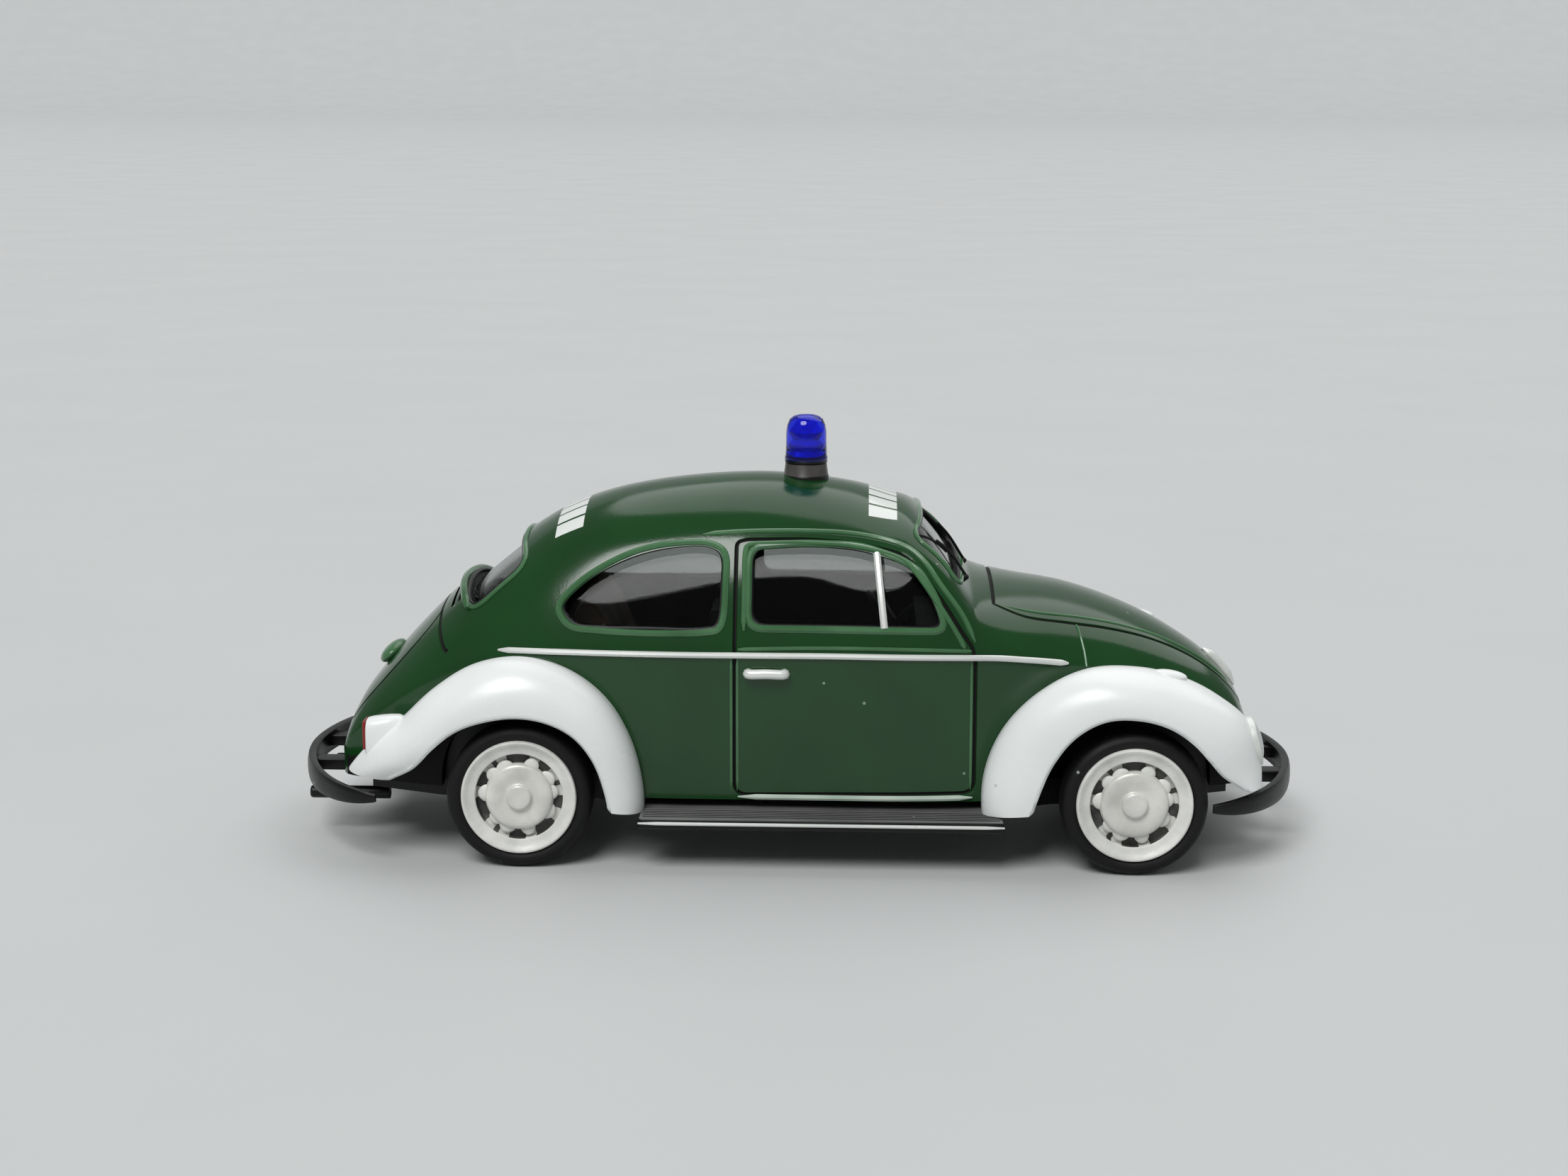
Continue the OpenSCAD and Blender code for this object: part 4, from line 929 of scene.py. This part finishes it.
def make_wing(end, side_name):
    side = SIDES[side_name]
    shares, axle_x, turn = (FRONT_WING, FRONT_AXLE_X, -1) if end == "front" else (REAR_WING, REAR_AXLE_X, 1)
    axle = Vector((axle_x, 0, TYRE_R))

    def placed(angle, y, r):
        a = radians(angle)
        return (axle_x + turn * r * cos(a), side * y, TYRE_R + r * sin(a))

    # Faces of the white wing turned to the wheel are painted dark as shade
    def painted_shade_toward_wheel(middle, normal):
        return normal.dot(axle - middle) > abs(axle.y - middle.y) * UNDERSIDE

    rows = [WingRow(*row) for row in open_curve(shares, 8)]
    rings = [[placed(row.angle, y, r) for y, r in wing_section(row)] for row in rows]
    wing = formed(f"{end}_wing_{side_name}", rings)
    carve(wing, body_solid("body_room", WING_CLEAR, SILL_H - 1.0, 4))
    two_finishes(wing, white, interior_dark, painted_shade_toward_wheel)
    edge = [placed(row.angle, row.edge_y * WING_HALF - ROLL_R, row.edge_r * ARCH_R) for row in rows]
    extras = [tube("rolled_edge", edge, ROLL_R, taper=3)]
    if end == "front":
        back, ahead = (Vector(placed(a, 0.918 * HALF_W, 1.505 * ARCH_R)) for a in (97, 113))
        middle = (back + ahead) / 2 - Vector((0, 0, 0.06))
        extras.append(ball("indicator", middle, INDICATOR, INDICATOR_TURN))
    else:
        extras.append(lamp_pod(side))
    for extra in extras:
        extra.data.materials.append(white)
    joined(wing, extras)
    finish(wing, white, node=f"wing_{end}_{side_name}", degrees=45)


# Wedge that carries the tail lamp, from its back forward: place, middle, half height and half width
POD_ROWS = (
    (-19.47, 5.42, 0.86, 0.52), (-19.42, 5.42, 0.96, 0.62), (-19.2, 5.45, 0.99, 0.66),
    (-18.8, 5.62, 0.88, 0.66), (-18.4, 5.8, 0.74, 0.6), (-18.0, 6.0, 0.55, 0.48), (-17.7, 6.15, 0.3, 0.3),
)
POD_Y = 6.19
POD_SIDES = 28
POD_SQUARE = 0.6


def lamp_pod(side):
    rings = []
    for x, middle, half_h, half_w in POD_ROWS:
        ring = []
        for k in range(POD_SIDES):
            a = 2 * pi * k / POD_SIDES
            c, s = cos(a), sin(a)
            ring.append((x, side * (POD_Y + half_w * copysign(abs(c) ** POD_SQUARE, c)),
                         middle + half_h * copysign(abs(s) ** POD_SQUARE, s)))
        rings.append(ring)
    return formed("lamp_pod", rings)


HEADLAMP = (
    (1.08, -0.85), (1.15, -0.8), (1.15, 0.04), (1.13, 0.1), (1.08, 0.14), (1.02, 0.14), (0.99, 0.1),
    (0.96, 0.11), (0.85, 0.2), (0.7, 0.26), (0.5, 0.31), (0.25, 0.34), (0.03, 0.35),
)
LENS_R = 0.98
LAMP_PLACE = (20.81, 6.084, 5.81)
LAMP_LEAN = radians(14)
TAIL_LAMP_X = (-19.6, -19.46)
TAIL_LAMP_Z = (5.0, 6.33)


def make_lamps():
    lean = Matrix.Rotation(pi / 2 - LAMP_LEAN, 4, "Y")
    for name, side in SIDES.items():
        lamp = turned("headlamp_" + name, HEADLAMP)
        two_finishes(lamp, lens, silver,
                     lambda middle, normal: hypot(middle.x, middle.y) > LENS_R or middle.z < 0)
        x, y, z = LAMP_PLACE
        lamp.data.transform(moved(x, side * y, z) @ lean)
        finish(lamp, lens, node="headlamp_" + name, degrees=50)
        (x0, x1), (z0, z1) = TAIL_LAMP_X, TAIL_LAMP_Z
        tail = block("tail_lamp_" + name, (x0, side * POD_Y - 0.5, z0), (x1, side * POD_Y + 0.5, z1), 0.06)
        finish(tail, red, node="tail_lamp_" + name, degrees=50)


# Bumpers: a blade bent round the end of the car, less tall towards its ends
BUMPER_HALF = 8.2
BUMPER_WRAP = 4.6
BUMPER_BEND = 1.85
BUMPER_Z = 3.15
# Name, end of the car, facing and inner end of the irons
BUMPERS = (("front_bumper", 23.4, 1, 21.34), ("rear_bumper", -23.4, -1, -21.24))
BLADE_STEPS = 72
# Half height and thickness of the blade in its middle, and what they lose at its ends
BLADE_HALF_H = (0.55, 0.36)
BLADE_THICK = (0.42, 0.16)
# Upper half of the blade's section: share of the thickness and of the half height
BLADE_SECTION = ((0.02, 0.45), (0.1, 0.8), (0.2, 0.96), (0.34, 1.0), (0.8, 0.97), (1.0, 0.85), (0.85, 0.6))
IRON_Y = 2.16
IRON_HALF = (0.45, 0.28)


def blade_point(y):
    share = min(abs(y) / BUMPER_HALF, 1.0)
    return -BUMPER_WRAP * (1 - (1 - share ** BUMPER_BEND) ** (1 / BUMPER_BEND))


def make_bumper(name, end_x, facing, body_x):
    path = []
    for k in range(BLADE_STEPS + 1):
        y = BUMPER_HALF * sin(pi * (k / BLADE_STEPS - 0.5))
        path.append(Vector((blade_point(y), y)))
    lower = [(depth, -z) for depth, z in reversed(BLADE_SECTION)]
    section = [(0.0, 0.0), *BLADE_SECTION, (0.8, 0.0), *lower]
    rings = []
    for k, p in enumerate(path):
        ahead, behind = path[min(k + 1, BLADE_STEPS)], path[max(k - 1, 0)]
        run = (ahead - behind).normalized()
        out = Vector((run.y, -run.x))
        ease = abs(2 * k / BLADE_STEPS - 1)
        half_h = BLADE_HALF_H[0] - BLADE_HALF_H[1] * ease ** 3
        thick = BLADE_THICK[0] - BLADE_THICK[1] * ease ** 4
        ring = []
        for depth, z in section:
            flat = p - out * depth * thick
            ring.append((end_x + facing * flat.x, facing * flat.y, BUMPER_Z + z * half_h))
        rings.append(ring)
    bumper = formed(name + "_blade", rings)
    irons = []
    half_w, iron_h = IRON_HALF
    for side in SIDES.values():
        xs = sorted((end_x - facing * 0.3, body_x))
        irons.append(block("iron", (xs[0], side * IRON_Y - half_w, BUMPER_Z - iron_h),
                           (xs[1], side * IRON_Y + half_w, BUMPER_Z + iron_h), 0.08))
    joined(bumper, irons)
    finish(bumper, black, node=name, degrees=40)


# Running boards with their bright strips
BOARD_X = (-6.9, 9.5)
BOARD_Y = (5.44, 8.67)
BOARD_Z = (2.01, 2.61)
BOARD_RIBS = 5
RIB_Y = 7.35
RIB_STEP = 0.26
RIB_R = 0.06
BOARD_STRIP_Z = 2.31
STRIP_STEPS = 20


def make_boards():
    (x0, x1), (z0, z1) = BOARD_X, BOARD_Z
    for name, side in SIDES.items():
        y0, y1 = sorted(side * y for y in BOARD_Y)
        board = block("board_" + name, (x0, y0, z0), (x1, y1, z1 - 0.05), 0.16, 4)
        ribs = []
        for k in range(BOARD_RIBS):
            y = side * (RIB_Y + RIB_STEP * k)
            ribs.append(tube("rib", [(x0 + 0.2, y, z1 - RIB_R), (x1 - 0.2, y, z1 - RIB_R)], RIB_R))
        joined(board, ribs)
        # Top faces are painted lighter grey as sheen
        two_finishes(board, black, board_top_sheen, lambda middle, normal: normal.z > 0.7)
        finish(board, black, node="running_board_" + name)
        y = side * (BOARD_Y[1] + 0.01)
        line = [(x0 + (x1 - x0) * k / STRIP_STEPS, y, BOARD_STRIP_Z) for k in range(STRIP_STEPS + 1)]
        bright(tube("bright_edge_" + name, line, 0.08, taper=2), "board_strip_" + name)


# Bright trim on the body
STRIP = ((0.183, 0.477), (0.26, 0.483), (0.436, 0.484), (0.56, 0.485), (0.69, 0.482), (0.746, 0.467),
         (0.79, 0.45))
VENT_BAR = ((0.5942, 0.572), (0.5855, 0.797))
# Door handle: its place, and its line from there along, out and up
GRIP_X = -2.16
GRIP_Z = 8.89
GRIP_MIDDLE = 0.95
GRIP = ((0.15, -0.1, 0), (0.12, 0.14, 0), (0.18, 0.24, 0), (0.4, 0.27, 0), (0.95, 0.28, 0.02),
        (1.5, 0.27, 0), (1.72, 0.24, 0), (1.78, 0.14, 0), (1.75, -0.1, 0))
NOSE_GRIP = (0.95, 0.036)
NOSE_STEPS = 14


def make_trim():
    for name, side in SIDES.items():
        line = side_path(open_curve(side_points(STRIP), 8), side, 0.03, closed=False)
        bright(tube("belt_line_" + name, line, 0.14, taper=3), "belt_strip_" + name)
        post = side_path(side_points(VENT_BAR), side, -0.02, 0.25, closed=False)
        bright(tube("vent_post_" + name, post, 0.17), "vent_bar_" + name)
        y = skin_y(GRIP_X + GRIP_MIDDLE, GRIP_Z)
        grip = [(GRIP_X + dx, y + dy, GRIP_Z + dz) for dx, dy, dz in GRIP]
        path = [(px, side * py, pz) for px, py, pz in open_curve(grip, 4)]
        bright(tube("door_grip_" + name, path, 0.23), "door_handle_" + name, 60)
    start, length = NOSE_GRIP
    nose = [(along(start + length * k / NOSE_STEPS), 0) for k in range(NOSE_STEPS + 1)]
    bright(tube("bonnet_grip", top_path(nose, out=0.1), 0.24, taper=4), "bonnet_handle", 60)
    make_wipers()


WIPER_FEET_Y = (-3.0, 0.9)
WIPER_FOOT = (0.2, 0.2, 0.16)
WIPER_STEPS = 8


def make_wipers():
    middle, normal, rise, _ = end_window_frame("windscreen")
    parts = []
    for foot_y in WIPER_FEET_Y:
        foot = middle + ACROSS * foot_y - rise * 1.75
        tip = middle + ACROSS * (foot_y - 1.0) + rise * 0.55
        arm, blade = [], []
        for k in range(WIPER_STEPS + 1):
            t = k / WIPER_STEPS
            arm.append(tuple(on_skin(foot + (tip - foot) * t, normal, 0.14 + 0.05 * sin(pi * t))))
            place = tip - ACROSS * 0.45 * (2 * t - 1) - rise * 0.75 * (1 - 2 * t)
            blade.append(tuple(on_skin(place, normal, 0.05)))
        parts.append(tube("wiper_arm", arm, 0.07))
        parts.append(tube("wiper_blade", blade, 0.06))
        parts.append(ball("wiper_foot", on_skin(foot, normal, 0.05), WIPER_FOOT))
    finish(gathered("wiper_pair", parts), black, node="wipers")


# Roof light
LIGHT_X = 0.3475
LIGHT_Z = 16.78
FOOT = ((1.07, -0.28), (1.07, 0.03), (1.04, 0.07), (0.97, 0.6), (0.95, 0.64), (0.99, 0.66), (1.0, 0.74),
        (0.97, 0.79), (0.05, 0.795))
FOOT_BAND = (0.05, 0.62)
DOME = ((0.9, 0.74), (0.99, 0.74), (1.0, 0.76), (1.0, 0.92), (0.97, 0.96), (0.95, 1.5), (0.94, 2.1),
        (0.89, 2.4), (0.78, 2.66), (0.58, 2.81), (0.34, 2.875), (0.05, 2.895))
CORE = ((0.3, 0.86), (0.62, 0.9), (0.5, 1.15), (0.66, 1.45), (0.42, 1.7), (0.6, 2.05), (0.35, 2.4),
        (0.05, 2.5))


def make_roof_light():
    place = moved(LIGHT_X, 0, LIGHT_Z)
    foot = turned("light_foot_ring", FOOT)
    two_finishes(foot, smoke, black, lambda middle, normal: not FOOT_BAND[0] < middle.z < FOOT_BAND[1])
    dome = turned("light_dome_cover", DOME)
    core = turned("light_core", CORE, 8)
    for piece in (foot, dome, core):
        piece.data.transform(place)
    finish(foot, smoke, node="light_foot")
    finish(dome, blue, node="light_dome", degrees=40)
    finish(core, blue_core, degrees=10)


# Wheels: profiles of radius and height from the inner side outward
TYRE = (
    (2.6, 0.25), (2.72, 0.09), (2.92, 0.02), (3.1, 0.09), (3.22, 0.22), (3.29, 0.45), (3.295, 0.62),
    (3.25, 0.65), (3.25, 0.72), (3.295, 0.75), (3.295, 0.9), (3.25, 0.93), (3.25, 1.0), (3.295, 1.03),
    (3.295, 1.18), (3.25, 1.21), (3.25, 1.28), (3.295, 1.31), (3.29, 1.48), (3.22, 1.68), (3.1, 1.81),
    (3.02, 1.84), (2.98, 1.87), (2.92, 1.88), (2.72, 1.82), (2.6, 1.7), (2.6, 0.25),
)
RIM = (
    (0.52, 0.3), (2.2, 0.3), (2.35, 0.02), (2.61, 0.02), (2.61, 1.82), (2.58, 1.88), (2.52, 1.9),
    (2.44, 1.88), (2.36, 1.8), (2.18, 1.74), (2.02, 1.71), (1.98, 1.66), (1.95, 1.34), (1.58, 1.34),
    (1.55, 1.56), (0.52, 1.56),
)
CAP = (
    (1.45, 1.5), (1.53, 1.55), (1.53, 1.64), (1.49, 1.73), (1.41, 1.79), (1.28, 1.82), (1.08, 1.8),
    (0.88, 1.75), (0.7, 1.715), (0.62, 1.71), (0.585, 1.74), (0.565, 1.86), (0.53, 1.91), (0.46, 1.93),
    (0.3, 1.933), (0.04, 1.935),
)
# Ten uneven lugs round the cap, with slots between them painted dark as shade
LUG_TURNS = [radians(36 * k + (8 if k % 3 == 0 else -4)) for k in range(10)]
LUG_PLACE = (1.42, 0, 1.5)
SLOT_R = (1.545, 1.975)
SLOT_Z = (1.3, 1.6)
SLOT_EDGE = cos(radians(8))


def in_slot(middle, normal):
    angle = atan2(middle.y, middle.x)
    if not (SLOT_R[0] < hypot(middle.x, middle.y) < SLOT_R[1] and SLOT_Z[0] < middle.z < SLOT_Z[1]):
        return False
    return max(cos(angle - turn) for turn in LUG_TURNS) < SLOT_EDGE


def make_wheels():
    tyre = turned("tyre", TYRE, 96)
    rim = turned("rim", RIM, 96)
    # Slots between the lugs are painted dark as shade
    two_finishes(rim, rim_white, slot_shade, in_slot)
    lugs = []
    for k, turn in enumerate(LUG_TURNS):
        lug = ball("rib", LUG_PLACE, (0.36 + 0.05 * (k % 3), 0.36 + 0.05 * (k % 2), 0.13))
        lug.data.transform(Matrix.Rotation(turn, 4, "Z"))
        lug.data.materials.append(rim_white)
        lugs.append(lug)
    joined(rim, lugs)
    cap = turned("hub_cap", CAP, 80)
    for end, x in (("front", FRONT_AXLE_X), ("rear", REAR_AXLE_X)):
        for name, side in SIDES.items():
            place = moved(x, side * WHEEL_IN_Y, TYRE_R) @ Matrix.Rotation(-side * pi / 2, 4, "X")
            tail = f"{end}_{name}"
            body = end + "_wheelset"
            finish(copy_of(tyre, "tyre_ring_" + tail, place), tyre_black, body, "tyre_" + tail)
            finish(copy_of(rim, "wheel_rim_" + tail, place), rim_white, body, "rim_" + tail)
            wheel_cap = copy_of(cap, "wheel_cap_" + tail, place)
            finish(wheel_cap, cap_grey, body, "hub_cap_" + tail, 50)
    for first in (tyre, rim, cap):
        discard(first)


# Tail pipes
PIPE = ((0.14, 0.5), (0.17, 0.1), (0.2, 0.02), (0.25, 0.0), (0.29, 0.05), (0.3, 0.12), (0.3, 3.75),
        (0.05, 3.8))
PIPE_PLACE = (-22.9, 2.88, 1.9)


def make_pipes():
    pipe = turned("pipe", PIPE, 32)
    lying = Matrix.Rotation(pi / 2, 4, "Y")
    x, y, z = PIPE_PLACE
    pair = []
    for name, side in SIDES.items():
        pair.append(copy_of(pipe, "pipe_" + name, moved(x, side * y, z) @ lying))
    discard(pipe)
    finish(gathered("pipe_pair", pair), black, node="tail_pipes")


# Rear bench and front seats, seen through the windows: side views of the backs
BENCH_BACK = ((-10.3, 7.6), (-10.2, 10.9), (-9.9, 11.3), (-9.3, 11.3), (-8.9, 10.8), (-7.6, 7.6))
BENCH_HALF = 3.8
SEAT_BACK = ((-2.5, 6.2), (-4.0, 10.6), (-3.9, 11.1), (-3.4, 11.2), (-3.0, 10.8), (-1.2, 6.4))
SEAT_Y = 2.88
SEAT_HALF = 1.65
SEAT_EDGE = 1.35


def seat_back(name, profile, places, width):
    return rounded(formed(name, [[(x, y, z) for x, z in profile] for y in places]), width)


def make_interior():
    bench = block("bench_seat", (-9.0, -BENCH_HALF, 4.2), (-5.6, BENCH_HALF, 8.2), 0.6, 5)
    places = (-BENCH_HALF, -3.5, 0.0, 3.5, BENCH_HALF)
    joined(bench, [seat_back("bench_back", BENCH_BACK, places, 0.25)])
    finish(bench, interior_brown, node="rear_bench", degrees=60)
    for name, side in SIDES.items():
        middle = side * SEAT_Y
        seat = block("seat_" + name, (-2.2, middle - SEAT_HALF, 4.0), (2.6, middle + SEAT_HALF, 7.0), 0.5, 4)
        places = [middle + out for out in (-SEAT_HALF, -SEAT_EDGE, SEAT_EDGE, SEAT_HALF)]
        joined(seat, [seat_back("seat_rest", SEAT_BACK, places, 0.2)])
        finish(seat, interior_dark, node="front_seat_" + name, degrees=60)


# The solids that keep their own shape
def dress_cad_nodes():
    finishes = {
        "chassis": black, "interior_tub": interior_dark, "dashboard": interior_dark, "steering_wheel": black,
        "axle_front": steel, "axle_rear": steel,
    }
    for name, material in finishes.items():
        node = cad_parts[name]
        if not node.material_slots:
            node.data.materials.append(material)
        for slot in node.material_slots:
            slot.material = material


# Camera, light and floor
CAMERA_PLACE = Vector((3.034, -114.39, 34.725)) * MM
PITCH = radians(11.536)
YAW = radians(1.853)
ROLL = radians(0.244)
LENS_MM = 56.57


def make_camera():
    ahead = Vector((-sin(YAW) * cos(PITCH), cos(YAW) * cos(PITCH), -sin(PITCH)))
    right = ahead.cross(Vector((0, 0, 1))).normalized()
    up = right.cross(ahead)
    right, up = right * cos(ROLL) + up * sin(ROLL), up * cos(ROLL) - right * sin(ROLL)
    data = bpy.data.cameras.new("camera")
    data.sensor_fit = "HORIZONTAL"
    data.sensor_width = 36
    data.lens = LENS_MM
    data.clip_start = 0.001
    data.clip_end = 20
    camera = bpy.data.objects.new("camera", data)
    turn = Matrix((right, up, -ahead)).transposed().to_4x4()
    camera.matrix_world = Matrix.Translation(CAMERA_PLACE) @ turn
    shown(camera)
    bpy.context.scene.camera = camera


# The sheet is flat under the car and bends up far behind it, in metres
FLOOR_FRONT = -1.5
FLOOR_BACK = 2.5
BEND_R = 1.0
WALL_TOP = 2.5
FLOOR_HALF = 3.0
BEND_STEPS = 24
SKY_COLOUR = (0.97, 0.99, 1.0, 1)
SKY_STRENGTH = 0.22
# Name, strength, width in degrees and direction
STUDIO_LAMPS = (
    ("key_light", 2.1, 32, (0.24, 0.56, -0.79)),
    ("top_light", 1.3, 70, (-0.25, -0.55, -0.8)),
)


def make_stage():
    profile = [(FLOOR_FRONT, 0.0), (0.0, 0.0)]
    for k in range(BEND_STEPS + 1):
        a = pi / 2 * k / BEND_STEPS
        profile.append((FLOOR_BACK + BEND_R * sin(a), BEND_R * (1 - cos(a))))
    profile.append((FLOOR_BACK + BEND_R, WALL_TOP))
    last = len(profile) - 1
    bpy.ops.mesh.primitive_grid_add(x_subdivisions=1, y_subdivisions=last, size=2)
    floor = added("floor")
    for v in floor.data.vertices:
        y, z = profile[round((v.co.y + 1) / 2 * last)]
        v.co = (v.co.x * FLOOR_HALF, y, z)
    pale = moulded("pale_floor", (200, 202, 202), (197, 199, 199), (0.5, 0.62), bump=0.02, tone=40.0,
                   gloss=0.2)
    floor.data.materials.append(pale)
    smooth(floor, 60)
    world = bpy.data.worlds.new("studio")
    bpy.context.scene.world = world
    world.use_nodes = True
    sky = world.node_tree.nodes["Background"]
    sky.inputs["Color"].default_value = SKY_COLOUR
    sky.inputs["Strength"].default_value = SKY_STRENGTH
    for name, energy, width, way in STUDIO_LAMPS:
        data = bpy.data.lights.new(name, "SUN")
        data.energy = energy
        data.angle = radians(width)
        lamp = bpy.data.objects.new(name, data)
        lamp.rotation_euler = Vector(way).to_track_quat("-Z", "Y").to_euler()
        shown(lamp)
    bpy.context.scene.view_settings.view_transform = "Standard"


make_camera()
make_stage()
make_body()
make_glazing()
for wing_end in ("front", "rear"):
    for wing_side in SIDES:
        make_wing(wing_end, wing_side)
make_lamps()
for bumper_row in BUMPERS:
    make_bumper(*bumper_row)
make_boards()
make_trim()
make_roof_light()
make_wheels()
make_pipes()
make_interior()
dress_cad_nodes()
